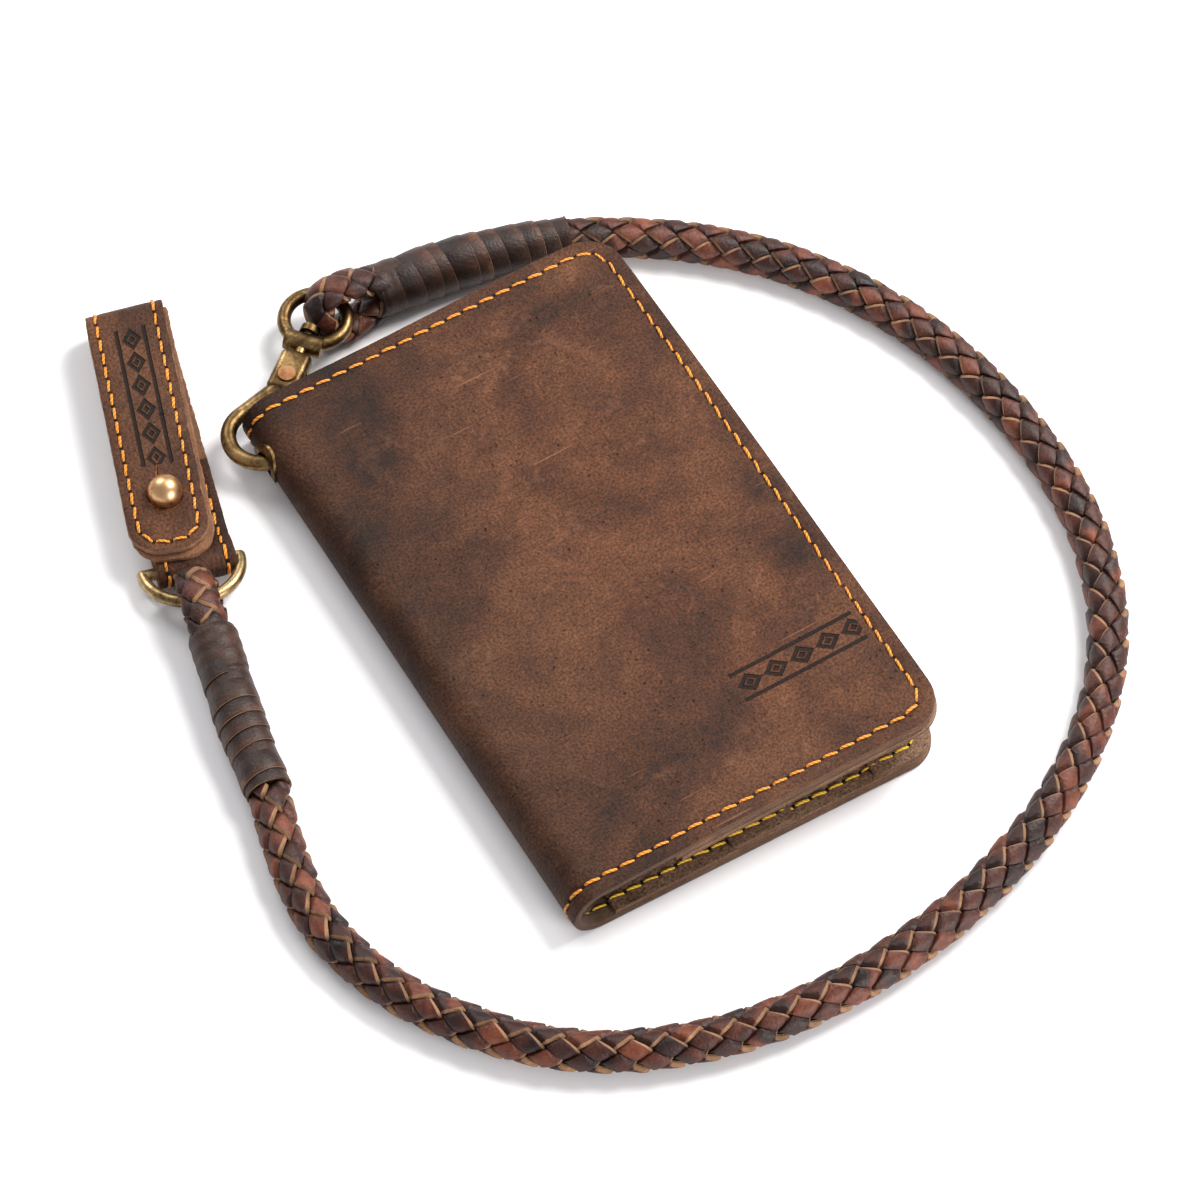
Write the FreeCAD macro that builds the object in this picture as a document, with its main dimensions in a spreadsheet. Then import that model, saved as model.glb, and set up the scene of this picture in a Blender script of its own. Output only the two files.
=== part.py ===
import FreeCAD, Part
import math
import os

# Chain wallet: a bifold leather wallet lying shut, a swivel snap hook through an eyelet in its spine,
# a round braided leather cord, and a belt loop on a D-ring at the cord's other end.
# Frame: +X from the spine to the free edge, +Y along the spine towards the hook, +Z up.
# The origin is the middle of the wallet's underside, on the surface that everything lies on.

Vector, Placement, Rotation = FreeCAD.Vector, FreeCAD.Placement, FreeCAD.Rotation
X_AXIS, Y_AXIS, Z_AXIS = Vector(1, 0, 0), Vector(0, 1, 0), Vector(0, 0, 1)

SIZES = {
    # wallet
    "wallet_width": 89.0,           # spine to free edge, shut
    "wallet_height": 140.0,         # along the spine
    "spine_height": 14.0,           # over both covers at the fold
    "cover_thick": 1.8,
    "corner_round": 8.0,
    "cover_lift": 3.3,              # degrees that the front cover rises to its free edge
    "lining_thick": 1.1,
    "pocket_thick": 1.1,
    "lining_start": 10.0,           # from the spine's outermost line
    "card_strip_start": 38.0,
    "card_strip_end": 53.0,
    "edge_pocket_start": 72.0,
    "front_lining_start": 24.0,
    # eyelet in the spine
    "eyelet_bore": 5.8,
    "eyelet_wall": 0.4,
    "eyelet_flange": 9.0,
    "eyelet_sheet": 0.5,
    "leather_clearance": 0.05,
    # snap hook, measured from the middle of its bow along its stem
    "hook_inset": 2.6,              # bow's middle, inside the spine's outermost line
    "hook_drop": 4.3,               # bow's middle, below the wallet's top edge
    "hook_angle": 40.5,             # degrees from +X to the stem
    "hook_level": 6.8,              # height of the hook's middle plane
    "bow_radius": 7.1,
    "bow_wire": 3.4,
    "nose_angle": 292.0,            # degrees round the bow where the nose ends
    "neck_angle": 58.0,             # degrees round the bow where the neck starts
    "head_start": 11.0,
    "head_end": 22.0,
    "head_width": 7.0,
    "head_thick": 5.2,
    "head_round": 1.4,
    "rivet_at": 15.1,
    "rivet_pin": 2.4,
    "rivet_head": 3.8,
    "rivet_head_thick": 0.4,
    "gate_slot": 2.8,
    "gate_thick": 1.7,
    "gate_width": 2.6,
    "gate_boss": 5.2,
    "spring_coil": 4.6,
    "spring_thick": 0.7,
    "stem_diameter": 2.6,
    "button_diameter": 4.4,
    "button_thick": 1.6,
    "running_clearance": 0.05,
    "side_clearance": 0.2,
    # swivel eye
    "eye_radius": 6.8,
    "eye_wire": 3.0,
    "collar_diameter": 4.6,
    "collar_length": 8.4,
    "collar_gap": 1.2,              # hook head to collar
    # cord
    "cord_diameter": 8.8,
    "hook_loop_inner": 2.6,
    "hook_loop_thick": 4.0,
    "hook_loop_width": 7.0,
    "hook_loop_leg": 8.45,
    "belt_loop_inner": 2.2,
    "belt_loop_thick": 3.4,
    "belt_loop_width": 8.4,
    "belt_loop_leg": 9.3,
    "loop_slack": 0.5,              # bend's middle past the wire's middle
    # belt strap
    "strap_width": 17.0,
    "strap_thick": 1.8,
    "strap_angle": -15.0,           # degrees from +Y to the strap's length
    "strap_length": 69.7,           # over both folds
    "strap_height": 10.3,
    "tab_length": 26.0,
    "ply_gap": 0.1,
    "flap_skew": -3.15,             # degrees that the flap is turned on the strap
    "flap_lining": 1.4,
    "flap_tip": 0.8,                # flap's end short of the D-ring's bar
    "flap_round": 7.0,
    "fold_gap": 0.7,                # flap's start to the top fold's middle
    "stud_x": -1.9,
    "stud_y": 14.8,
    "stud_ball": 7.4,
    "stud_neck": 4.0,
    "stud_flange": 7.2,
    "stud_flange_thick": 0.8,
    "stud_neck_length": 3.2,
    "flap_hole": 9.2,
    "screw_shank": 2.8,
    "screw_head": 6.4,
    "screw_head_thick": 0.7,
    "screw_recess": 0.9,
    # D-ring
    "ring_radius": 10.4,
    "ring_wire": 2.6,
    "bar_clearance": 0.35,
    # spine's top corner that the cord's route is laid out from
    "route_corner_x": -44.5,
    "route_corner_y": 70.0,
}

# Middle line of the braid from the hook's whipping to the belt loop's whipping, as it lies.
BRAID_POINTS = [
    (41, 80.2), (57, 72.5), (80, 52), (95.5, 24), (102, -9), (99.5, -41), (86.5, -69),
    (62.5, -90.5), (33, -103.5), (1, -109.2), (-31, -107), (-60, -94.5), (-80, -71),
    (-88.2, -49), (-87.6, -29), (-82.1, -10.8),
]
# Whippings: middle, radius and heading in degrees of each section along them.
HOOK_WHIPPING = [((-2.6, 86.8, 6.5), 6.3, 0), ((19.6, 84.9, 5.9), 5.7, -8), ((41, 80.2, 4.9), 4.8, -25.7)]
BELT_WHIPPING = [((-82.1, -10.8, 4.9), 4.8, 73.2), ((-79, 8, 5.4), 5.2, 77), ((-74.54, 27.3, 5.7), 5.6, 75)]
STRAP_POINT = (-69.6, 45.9)         # under the D-ring's bar

doc = FreeCAD.newDocument("chain_wallet")
sheet = doc.addObject("Spreadsheet::Sheet", "sizes")
for row, (alias, value) in enumerate(SIZES.items(), start=1):
    sheet.set(f"A{row}", alias)
    sheet.set(f"B{row}", str(value))
    sheet.setAlias(f"B{row}", alias)
doc.recompute()

nodes = []


def size(alias):
    """A driving dimension, read back from the sheet."""
    return float(sheet.get(alias))


def bind(obj, **expressions):
    """Binds an object's properties to expressions in the sheet's aliases."""
    for prop, expression in expressions.items():
        for alias in sorted(SIZES, key=len, reverse=True):
            expression = expression.replace(f"[{alias}]", f"sizes.{alias}")
        obj.setExpression(prop, expression)


def node(obj, label):
    """Marks an object as a sub-part and gives it the name of its file."""
    obj.Label = label
    nodes.append(obj)
    return obj


def add(kind, name, place=None, **expressions):
    """Adds a Part object with its sizes bound to the sheet."""
    obj = doc.addObject(kind, name)
    bind(obj, **expressions)
    if place is not None:
        obj.Placement = place
    return obj


def combine(kind, name, base, tool):
    obj = doc.addObject(kind, name)
    obj.Base, obj.Tool = base, tool
    return obj


def fuse(name, shapes):
    obj = doc.addObject("Part::MultiFuse", name)
    obj.Shapes = shapes
    obj.Refine = True
    return obj


def cut(name, base, *tools):
    for i, tool in enumerate(tools):
        base = combine("Part::Cut", f"{name}_{i}" if i < len(tools) - 1 else name, base, tool)
    return base


def turned(axis, degrees):
    return Rotation(axis, degrees)


def body_pad(name, edges, role, length, place=None, midplane=False, reverse=False):
    """A body whose one pad is a closed sketch on an origin plane, with its length bound to the sheet."""
    body = doc.addObject("PartDesign::Body", name)
    sketch = body.newObject("Sketcher::SketchObject", f"{name}_sketch")
    plane = [f for f in body.Origin.OriginFeatures if f.Role == role][0]
    sketch.AttachmentSupport = (plane, "")
    sketch.MapMode = "FlatFace"
    for edge in edges:
        sketch.addGeometry(edge, False)
    pad = body.newObject("PartDesign::Pad", f"{name}_pad")
    pad.Profile = sketch
    bind(pad, Length=length)
    pad.Midplane = midplane
    pad.Reversed = reverse
    body.Tip = pad
    if place is not None:
        body.Placement = place
    return body


def line(a, b):
    return Part.LineSegment(Vector(a[0], a[1], 0), Vector(b[0], b[1], 0))


def arc(middle, radius, start, end):
    """An arc in the sketch plane, counter-clockwise from start to end, in degrees."""
    circle = Part.Circle(Vector(middle[0], middle[1], 0), Z_AXIS, radius)
    return Part.ArcOfCircle(circle, math.radians(start), math.radians(end))


def circle(middle, radius):
    return Part.Circle(Vector(middle[0], middle[1], 0), Z_AXIS, radius)


def leaf(x0, x1, half, rounded):
    """Outline of a flat leather leaf: square at x0, with two rounded corners at x1."""
    r = rounded
    if r <= 0:
        corners = [(x0, -half), (x1, -half), (x1, half), (x0, half)]
        return [line(corners[i], corners[(i + 1) % 4]) for i in range(4)]
    return [
        line((x0, -half), (x1 - r, -half)),
        arc((x1 - r, -half + r), r, -90, 0),
        line((x1, -half + r), (x1, half - r)),
        arc((x1 - r, half - r), r, 0, 90),
        line((x1 - r, half), (x0, half)),
        line((x0, half), (x0, -half)),
    ]


def ribbon(start, heading, steps, thick):
    """Closed outline of a strip of one thickness whose middle line takes the given steps.

    A step is (length,) for a straight run or (radius, turn) for a tangent arc, turn in degrees.
    """
    left, right = [], []
    x, y = start
    angle = math.radians(heading)
    side = thick / 2

    def offset(px, py, a, d):
        return (px - d * math.sin(a), py + d * math.cos(a))

    first = (offset(x, y, angle, side), offset(x, y, angle, -side))
    for step in steps:
        if len(step) == 1:
            nx, ny = x + step[0] * math.cos(angle), y + step[0] * math.sin(angle)
            left.append(line(offset(x, y, angle, side), offset(nx, ny, angle, side)))
            right.append(line(offset(x, y, angle, -side), offset(nx, ny, angle, -side)))
            x, y = nx, ny
        else:
            radius, turn = step[0], math.radians(step[1])
            way = 1 if turn > 0 else -1
            cx, cy = offset(x, y, angle, way * radius)
            from_middle = angle - way * math.pi / 2
            for edges, d in ((left, side), (right, -side)):
                r = radius - way * d
                ends = [from_middle, from_middle + turn]
                edges.append(arc((cx, cy), r, *[math.degrees(a) for a in sorted(ends)]))
            angle += turn
            end = from_middle + turn
            x, y = cx + radius * math.cos(end), cy + radius * math.sin(end)
    last = (offset(x, y, angle, side), offset(x, y, angle, -side))
    return left + [line(last[0], last[1])] + right + [line(first[1], first[0])]


# ---------------------------------------------------------------- wallet

half_height = size("wallet_height") / 2
spine_line = -size("wallet_width") / 2
free_edge = size("wallet_width") / 2
fold_radius = size("spine_height") / 2
fold_x = spine_line + fold_radius
fold_middle = Vector(fold_x, 0, fold_radius)
leaf_length = free_edge - fold_x
lift = turned(Y_AXIS, -size("cover_lift"))


def back_leaf(name, start, end, level, thick, rounded):
    """A flat layer of the back half, from start to end measured from the spine's outermost line."""
    outline = leaf(spine_line + start, spine_line + end, half_height, rounded)
    place = Placement(Vector(0, 0, level), Rotation())
    return node(body_pad(name, outline, "XY_Plane", thick, place), name)


def front_leaf(name, start, depth, thick):
    """A layer of the front half; depth is from the fold's middle down to its lower face."""
    outline = leaf(spine_line + start - fold_x, leaf_length, half_height, size("corner_round"))
    place = Placement(fold_middle, lift) * Placement(Vector(0, 0, depth), Rotation())
    return node(body_pad(name, outline, "XY_Plane", thick, place), name)


width = size("wallet_width")
cover = size("cover_thick")
lining = size("lining_thick")
rounded = size("corner_round")
back_leaf("cover_back", fold_radius, width, 0, "[cover_thick]", rounded)
back_leaf("back_lining", size("lining_start"), width, cover, "[lining_thick]", rounded)
inner_level = cover + lining
back_leaf("card_strip", size("card_strip_start"), size("card_strip_end"), inner_level, "[pocket_thick]", 0)
back_leaf("edge_pocket", size("edge_pocket_start"), width, inner_level, "[pocket_thick]", rounded)
under_cover = fold_radius - cover
front_leaf("cover_front", fold_radius, under_cover, "[cover_thick]")
front_leaf("front_lining", size("front_lining_start"), under_cover - lining, "[lining_thick]")
slip_level = under_cover - lining - size("pocket_thick")
front_leaf("front_slip_pocket", size("front_lining_start"), slip_level, "[pocket_thick]")

# The hook's bow passes through the spine where its circle crosses the middle of the spine's leather.
hook_x = spine_line + size("hook_inset")
hook_y = half_height - size("hook_drop")
hook_z = size("hook_level")
crossing = size("hook_inset") - cover / 2
eyelet_y = hook_y - math.sqrt(size("bow_radius") ** 2 - crossing ** 2)

along_spine = turned(X_AXIS, -90)
spine_place = Placement(fold_middle + Vector(0, -half_height, 0), along_spine * turned(Z_AXIS, 90))
spine_outer = add("Part::Cylinder", "spine_outer", spine_place, Radius="[spine_height] / 2",
                  Height="[wallet_height]", Angle="180 - [cover_lift]")
core_place = Placement(fold_middle + Vector(0, -half_height - 1, 0), along_spine)
spine_core = add("Part::Cylinder", "spine_core", core_place, Radius="[spine_height] / 2 - [cover_thick]",
                 Height="[wallet_height] + 2")
across_spine = Placement(Vector(spine_line - fold_radius / 2, eyelet_y, hook_z), turned(Y_AXIS, 90))
eyelet_hole = add("Part::Cylinder", "eyelet_hole", across_spine,
                  Radius="[eyelet_bore] / 2 + [eyelet_wall] + [leather_clearance]", Height="[spine_height] / 2 + 2")
node(cut("spine", spine_outer, spine_core, eyelet_hole), "cover_spine")


def shell_of_spine(name, inner, outer):
    """A sleeve round the fold's middle line, as long as the eyelet needs."""
    base = Vector(fold_x, eyelet_y - size("eyelet_flange"), fold_radius)
    outside = add("Part::Cylinder", f"{name}_outside", Placement(base, along_spine), Radius=outer,
                  Height="2 * [eyelet_flange]")
    inside = add("Part::Cylinder", f"{name}_inside", Placement(base, along_spine), Radius=inner,
                 Height="2 * [eyelet_flange]")
    return cut(name, outside, inside)


# The eyelet is formed to the spine's curve: two curved flanges and a barrel between them.
outer_flange = combine(
    "Part::Common", "outer_flange",
    shell_of_spine("outer_sleeve", "[spine_height] / 2 + [leather_clearance]",
                   "[spine_height] / 2 + [leather_clearance] + [eyelet_sheet]"),
    add("Part::Cylinder", "outer_disc", across_spine, Radius="[eyelet_flange] / 2", Height="[spine_height] / 2 + 2"))
inner_flange = combine(
    "Part::Common", "inner_flange",
    shell_of_spine("inner_sleeve", "[spine_height] / 2 - [cover_thick] - [leather_clearance] - [eyelet_sheet]",
                   "[spine_height] / 2 - [cover_thick] - [leather_clearance]"),
    add("Part::Cylinder", "inner_disc", across_spine, Radius="[eyelet_flange] / 2", Height="[spine_height] / 2 + 2"))
barrel = combine(
    "Part::Common", "eyelet_barrel",
    shell_of_spine("barrel_sleeve", "[spine_height] / 2 - [cover_thick] - [leather_clearance] - [eyelet_sheet]",
                   "[spine_height] / 2 + [leather_clearance] + [eyelet_sheet]"),
    add("Part::Cylinder", "barrel_disc", across_spine, Radius="[eyelet_bore] / 2 + [eyelet_wall]",
        Height="[spine_height] / 2 + 2"))
eyelet_bore = add("Part::Cylinder", "eyelet_bore_tool", across_spine, Radius="[eyelet_bore] / 2",
                  Height="[spine_height] / 2 + 2")
node(cut("eyelet", fuse("eyelet_blank", [outer_flange, inner_flange, barrel]), eyelet_bore), "spine_eyelet")

# ---------------------------------------------------------------- snap hook

hook_frame = Placement(Vector(hook_x, hook_y, hook_z), turned(Z_AXIS, size("hook_angle")))


def in_hook(x, y, z, rotation=None):
    return hook_frame * Placement(Vector(x, y, z), rotation or Rotation())


along_stem = turned(Y_AXIS, 90)
neck_turn = size("neck_angle")
bow_start = Vector(size("bow_radius") * math.cos(math.radians(neck_turn)),
                   size("bow_radius") * math.sin(math.radians(neck_turn)), 0)
nose_end = Vector(size("bow_radius") * math.cos(math.radians(size("nose_angle"))),
                  size("bow_radius") * math.sin(math.radians(size("nose_angle"))), 0)
bow = add("Part::Torus", "bow", in_hook(0, 0, 0, turned(Z_AXIS, neck_turn)), Radius1="[bow_radius]",
          Radius2="[bow_wire] / 2", Angle3="[nose_angle] - [neck_angle]")
nose = add("Part::Sphere", "nose", in_hook(nose_end.x, nose_end.y, 0), Radius="[bow_wire] / 2")
neck_end = Vector(size("head_start") + 1.5, 0.6, 0)
neck_way = neck_end - bow_start
neck = add("Part::Cone", "neck", in_hook(bow_start.x, bow_start.y, 0, Rotation(Z_AXIS, neck_way)),
           Radius1="[bow_wire] / 2", Radius2="[head_thick] / 2 - 0.2")
neck.Height = neck_way.Length
neck_ball = add("Part::Sphere", "neck_ball", in_hook(bow_start.x, bow_start.y, 0), Radius="[bow_wire] / 2")
head_box = add("Part::Box", "head_box",
               in_hook(size("head_start"), -size("head_width") / 2, -size("head_thick") / 2),
               Length="[head_end] - [head_start]", Width="[head_width]", Height="[head_thick]")
head = doc.addObject("Part::Fillet", "head")
head.Base = head_box
head.Edges = [(i, size("head_round"), size("head_round")) for i in range(1, 13)]
stem_start = size("head_end") - 2
collar_at = size("head_end") + size("collar_gap") + size("collar_diameter") / 2
collar_far = collar_at + size("collar_diameter") / 2 + size("side_clearance")
stem = add("Part::Cylinder", "stem", in_hook(stem_start, 0, 0, along_stem), Radius="[stem_diameter] / 2")
stem.Height = collar_far - stem_start + size("button_thick") / 2
button = add("Part::Cylinder", "button", in_hook(collar_far, 0, 0, along_stem), Radius="[button_diameter] / 2",
             Height="[button_thick]")
slot_length = size("head_end") - size("head_start")
gate_slot = add("Part::Box", "gate_slot_box",
                in_hook(size("rivet_at") - slot_length, -size("head_width"), -size("gate_slot") / 2),
                Width="[head_width] + [gate_boss] / 2 + [side_clearance]", Height="[gate_slot]")
gate_slot.Length = slot_length + size("gate_boss") / 2 + size("side_clearance")
bow_keep = add("Part::Cylinder", "bow_keep", in_hook(0, 0, -size("head_thick")), Height="2 * [head_thick]",
               Radius="[bow_radius] + [bow_wire] / 2")
slot_tool = cut("slot_tool", gate_slot, bow_keep)
rivet_bore = add("Part::Cylinder", "rivet_bore", in_hook(size("rivet_at"), 0, -size("head_thick")),
                 Radius="[rivet_pin] / 2 + [running_clearance]", Height="2 * [head_thick]")
hook_blank = fuse("hook_blank", [bow, nose, neck, neck_ball, head, stem, button])
node(cut("hook", hook_blank, slot_tool, rivet_bore), "hook_body")

# The gate turns on the rivet, lies in the head's slot, and shuts against the end of the nose.
gate_level = -size("gate_slot") / 2 + size("side_clearance")
gate_reach = Vector(nose_end.x - size("rivet_at"), nose_end.y, 0)
gate_length = gate_reach.Length - size("bow_wire") / 2 - size("side_clearance")
gate_turn = Rotation(X_AXIS, gate_reach)
gate_place = in_hook(size("rivet_at"), 0, gate_level, gate_turn)
gate_bar = add("Part::Box", "gate_bar",
               gate_place * Placement(Vector(0, -size("gate_width") / 2, 0), Rotation()),
               Width="[gate_width]", Height="[gate_thick]")
gate_bar.Length = gate_length
gate_boss = add("Part::Cylinder", "gate_boss_disc", gate_place, Radius="[gate_boss] / 2", Height="[gate_thick]")
gate_bore = add("Part::Cylinder", "gate_bore", gate_place * Placement(Vector(0, 0, -1), Rotation()),
                Radius="[rivet_pin] / 2 + [running_clearance]", Height="[gate_thick] + 2")
node(cut("gate", fuse("gate_blank", [gate_bar, gate_boss]), gate_bore), "hook_gate")

spring_place = in_hook(size("rivet_at"), 0, gate_level + size("gate_thick") + size("running_clearance"))
spring_outer = add("Part::Cylinder", "spring_outer", spring_place, Radius="[spring_coil] / 2", Height="[spring_thick]")
spring_inner = add("Part::Cylinder", "spring_inner", spring_place * Placement(Vector(0, 0, -1), Rotation()),
                   Radius="[rivet_pin] / 2 + [side_clearance]", Height="[spring_thick] + 2")
node(cut("spring", spring_outer, spring_inner), "gate_spring")

half_head = size("head_thick") / 2
pin_reach = half_head + size("rivet_head_thick")
rivet_pin = add("Part::Cylinder", "rivet_pin_rod", in_hook(size("rivet_at"), 0, -pin_reach),
                Radius="[rivet_pin] / 2", Height="[head_thick] + 2 * [rivet_head_thick]")
rivet_heads = [
    add("Part::Cylinder", f"rivet_head_{i}", in_hook(size("rivet_at"), 0, level), Radius="[rivet_head] / 2",
        Height="[rivet_head_thick]")
    for i, level in enumerate((-pin_reach, half_head))
]
node(fuse("rivet", [rivet_pin] + rivet_heads), "gate_rivet")

# ---------------------------------------------------------------- swivel eye

eye_middle = collar_at + size("eye_radius")
eye_ring = add("Part::Torus", "eye_ring", in_hook(eye_middle, 0, 0), Radius1="[eye_radius]", Radius2="[eye_wire] / 2")
collar = add("Part::Cylinder", "collar",
             in_hook(collar_at, size("collar_length") / 2, 0, turned(X_AXIS, 90)),
             Radius="[collar_diameter] / 2", Height="[collar_length]")
eye_bore = add("Part::Cylinder", "eye_bore", in_hook(stem_start, 0, 0, along_stem),
               Radius="[stem_diameter] / 2 + [running_clearance]")
eye_bore.Height = collar_far - stem_start + 1
button_room = add("Part::Cylinder", "button_room", in_hook(collar_far - size("side_clearance"), 0, 0, along_stem),
                  Radius="[button_diameter] / 2 + [side_clearance]", Height="[button_thick] + 2")
eye_blank = fuse("eye_blank", [eye_ring, collar])
node(cut("eye", eye_blank, eye_bore, button_room), "swivel_eye")

# ---------------------------------------------------------------- D-ring and belt strap

shift = Vector(spine_line - size("route_corner_x"), half_height - size("route_corner_y"), 0)
strap_thick = size("strap_thick")
bar_level = strap_thick + size("bar_clearance") + size("ring_wire") / 2
strap_frame = Placement(Vector(*STRAP_POINT, 0) + shift, turned(Z_AXIS, size("strap_angle")))
belt_loop_level = size("belt_loop_inner") + size("belt_loop_thick")
ring_tilt = math.degrees(math.asin((belt_loop_level - bar_level) / size("ring_radius")))
ring_reach = size("ring_radius") * math.cos(math.radians(ring_tilt))
ring_frame = strap_frame * Placement(Vector(0, 0, bar_level), turned(X_AXIS, -ring_tilt))
# The ring is fused at the origin and then laid in its place, so the fuse is the same wherever it goes.
half_ring = add("Part::Torus", "half_ring", Placement(Vector(), turned(Z_AXIS, 180)),
                Radius1="[ring_radius]", Radius2="[ring_wire] / 2")
half_ring.Angle3 = 180
bar = add("Part::Cylinder", "ring_bar", Placement(Vector(-size("ring_radius"), 0, 0), turned(Y_AXIS, 90)),
          Radius="[ring_wire] / 2", Height="2 * [ring_radius]")
ring_corners = [
    add("Part::Sphere", f"ring_corner_{i}", Placement(Vector(x, 0, 0), Rotation()), Radius="[ring_wire] / 2")
    for i, x in enumerate((-size("ring_radius"), size("ring_radius")))
]
ring = fuse("ring", [half_ring, bar] + ring_corners)
ring.Placement = ring_frame
node(ring, "d_ring")

# The strap lies flat, goes round the D-ring's bar and comes back on top of itself as a tab.
bottom_outer = bar_level
fold_top_y = size("strap_length") - bottom_outer - size("strap_height") / 2
bar_bend = bar_level - strap_thick / 2
tab_level = 1.5 * strap_thick + size("ply_gap")
step_radius, step_turn = 4.0, 30.0
step_drop = (bar_level + bar_bend) - tab_level
step_arcs = 2 * step_radius * (1 - math.cos(math.radians(step_turn)))
step_run = (step_drop - step_arcs) / math.sin(math.radians(step_turn))
step_reach = 2 * step_radius * math.sin(math.radians(step_turn)) + step_run * math.cos(math.radians(step_turn))
strap_outline = ribbon(
    (fold_top_y, strap_thick / 2), 180,
    [(fold_top_y,), (bar_bend, -180), (step_radius, -step_turn), (step_run,), (step_radius, step_turn),
     (size("tab_length") - step_reach,)],
    strap_thick)
strap_body = body_pad("strap_body", strap_outline, "YZ_Plane", "[strap_width]", strap_frame, midplane=True)
screw_place = strap_frame * Placement(Vector(size("stud_x"), size("stud_y"), 0), Rotation())
shank_room = add("Part::Cylinder", "shank_room", screw_place, Radius="[screw_shank] / 2 + [running_clearance]",
                 Height="[strap_height]")
head_room = add("Part::Cylinder", "head_room", screw_place, Radius="[screw_head] / 2 + [side_clearance]",
                Height="[screw_recess]")
node(cut("strap", strap_body, shank_room, head_room), "strap_back")

top_bend = size("strap_height") / 2 - strap_thick / 2
fold_outline = ribbon((fold_top_y, strap_thick / 2), 0, [(top_bend, 180)], strap_thick)
node(body_pad("strap_fold", fold_outline, "YZ_Plane", "[strap_width]", strap_frame, midplane=True),
     "strap_top_fold")

# The flap turns back over the strap from the top fold and ends in a rounded tongue.
flap_end = fold_top_y - size("flap_tip")
flap_frame = strap_frame * Placement(Vector(0, fold_top_y, 0), turned(Z_AXIS, size("flap_skew")))
stud_in_flap = flap_frame.inverse().multVec(screw_place.Base)


def flap_layer(name, level, thick):
    """One layer of the flap, with room for the stud's ball to pass as the flap turns."""
    half, r = size("strap_width") / 2, size("flap_round")
    top, end = -size("fold_gap"), -flap_end
    outline = [
        line((half, top), (-half, top)),
        line((-half, top), (-half, end + r)),
        arc((-half + r, end + r), r, 180, 270),
        line((-half + r, end), (half - r, end)),
        arc((half - r, end + r), r, 270, 360),
        line((half, end + r), (half, top)),
        circle((stud_in_flap.x, stud_in_flap.y), size("flap_hole") / 2),
    ]
    place = flap_frame * Placement(Vector(0, 0, level), Rotation())
    return node(body_pad(name, outline, "XY_Plane", thick, place), name)


outer_level = size("strap_height") - strap_thick
flap_layer("flap_outer", outer_level, "[strap_thick]")
flap_layer("flap_lining", outer_level - size("flap_lining"), "[flap_lining]")

# Ball stud: a flange on the tab, a neck through the flap's hole, a ball over it, and a screw from below.
tab_top = 2 * strap_thick + size("ply_gap")
stud_top = tab_top + size("stud_flange_thick") + size("stud_neck_length")


def at_stud(level):
    return screw_place * Placement(Vector(0, 0, level), Rotation())


flange = add("Part::Cylinder", "stud_flange_disc", at_stud(tab_top), Radius="[stud_flange] / 2",
             Height="[stud_flange_thick]")
neck_rod = add("Part::Cylinder", "stud_neck_rod", at_stud(tab_top), Radius="[stud_neck] / 2",
               Height="[stud_flange_thick] + [stud_neck_length] + [stud_ball] / 4")
ball = add("Part::Sphere", "stud_ball_sphere", at_stud(stud_top + size("stud_ball") / 2 - 0.4),
           Radius="[stud_ball] / 2")
thread_room = add("Part::Cylinder", "thread_room", at_stud(0), Radius="[screw_shank] / 2 + [running_clearance]")
thread_room.Height = tab_top + size("stud_neck_length") / 2
node(cut("stud", fuse("stud_blank", [flange, neck_rod, ball]), thread_room), "ball_stud")
screw_base = size("screw_recess") - size("screw_head_thick")
screw_head = add("Part::Cylinder", "screw_head_disc", at_stud(screw_base), Radius="[screw_head] / 2",
                 Height="[screw_head_thick]")
screw_shank = add("Part::Cylinder", "screw_shank_rod", at_stud(screw_base), Radius="[screw_shank] / 2")
screw_shank.Height = tab_top + size("stud_neck_length") / 2 - size("side_clearance") - screw_base
node(fuse("screw", [screw_head, screw_shank]), "stud_screw")

# ---------------------------------------------------------------- cord

cord_radius = size("cord_diameter") / 2
cord_level = cord_radius + 0.1


def solid_node(label, shape, place=Placement()):
    obj = doc.addObject("Part::Feature", label)
    obj.Shape = shape
    obj.Placement = place
    return node(obj, label)


def route_wire(points):
    """Straight runs joined by tangent arcs, each as large as its two runs allow."""
    edges, radii = [], []
    here = points[0]
    for before, corner, after in zip(points, points[1:], points[2:]):
        into, out = corner - before, after - corner
        shorter = min(into.Length, out.Length)
        turn = into.getAngle(out)
        radius = 0.45 * shorter / math.tan(turn / 2)
        radii.append(radius)
        into.normalize()
        out.normalize()
        start = corner - into * (0.45 * shorter)
        end = corner + out * (0.45 * shorter)
        inward = (out - into).normalize()
        mid = corner + inward * (radius / math.cos(turn / 2) - radius)
        edges.append(Part.LineSegment(here, start).toShape())
        edges.append(Part.Arc(start, mid, end).toShape())
        here = end
    edges.append(Part.LineSegment(here, points[-1]).toShape())
    return Part.Wire(edges), radii


braid_points = [Vector(x, y, cord_level) + shift for x, y in BRAID_POINTS]
path, radii = route_wire(braid_points)
section = Part.Wire([Part.Circle(braid_points[0], braid_points[1] - braid_points[0], cord_radius).toShape()])
tube = path.makePipeShell([section], True, False)
print("cord bend radii, mm:", [round(r, 1) for r in radii])
print("cord length, mm:", round(path.Length, 1))
print("tube volume over section times length:", round(tube.Volume / (math.pi * cord_radius ** 2 * path.Length), 4))
solid_node("cord_braid", tube)


def whipping(label, sections):
    """A wrapped, tapering sleeve over the cord's end, lofted through round sections."""
    rings = []
    for middle, radius, heading in sections:
        way = Vector(math.cos(math.radians(heading)), math.sin(math.radians(heading)), 0)
        rings.append(Part.Wire([Part.Circle(Vector(*middle) + shift, way, radius).toShape()]))
    return solid_node(label, Part.makeLoft(rings, True, True))


whipping("whipping_hook_end", HOOK_WHIPPING)
whipping("whipping_belt_end", BELT_WHIPPING)


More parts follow.
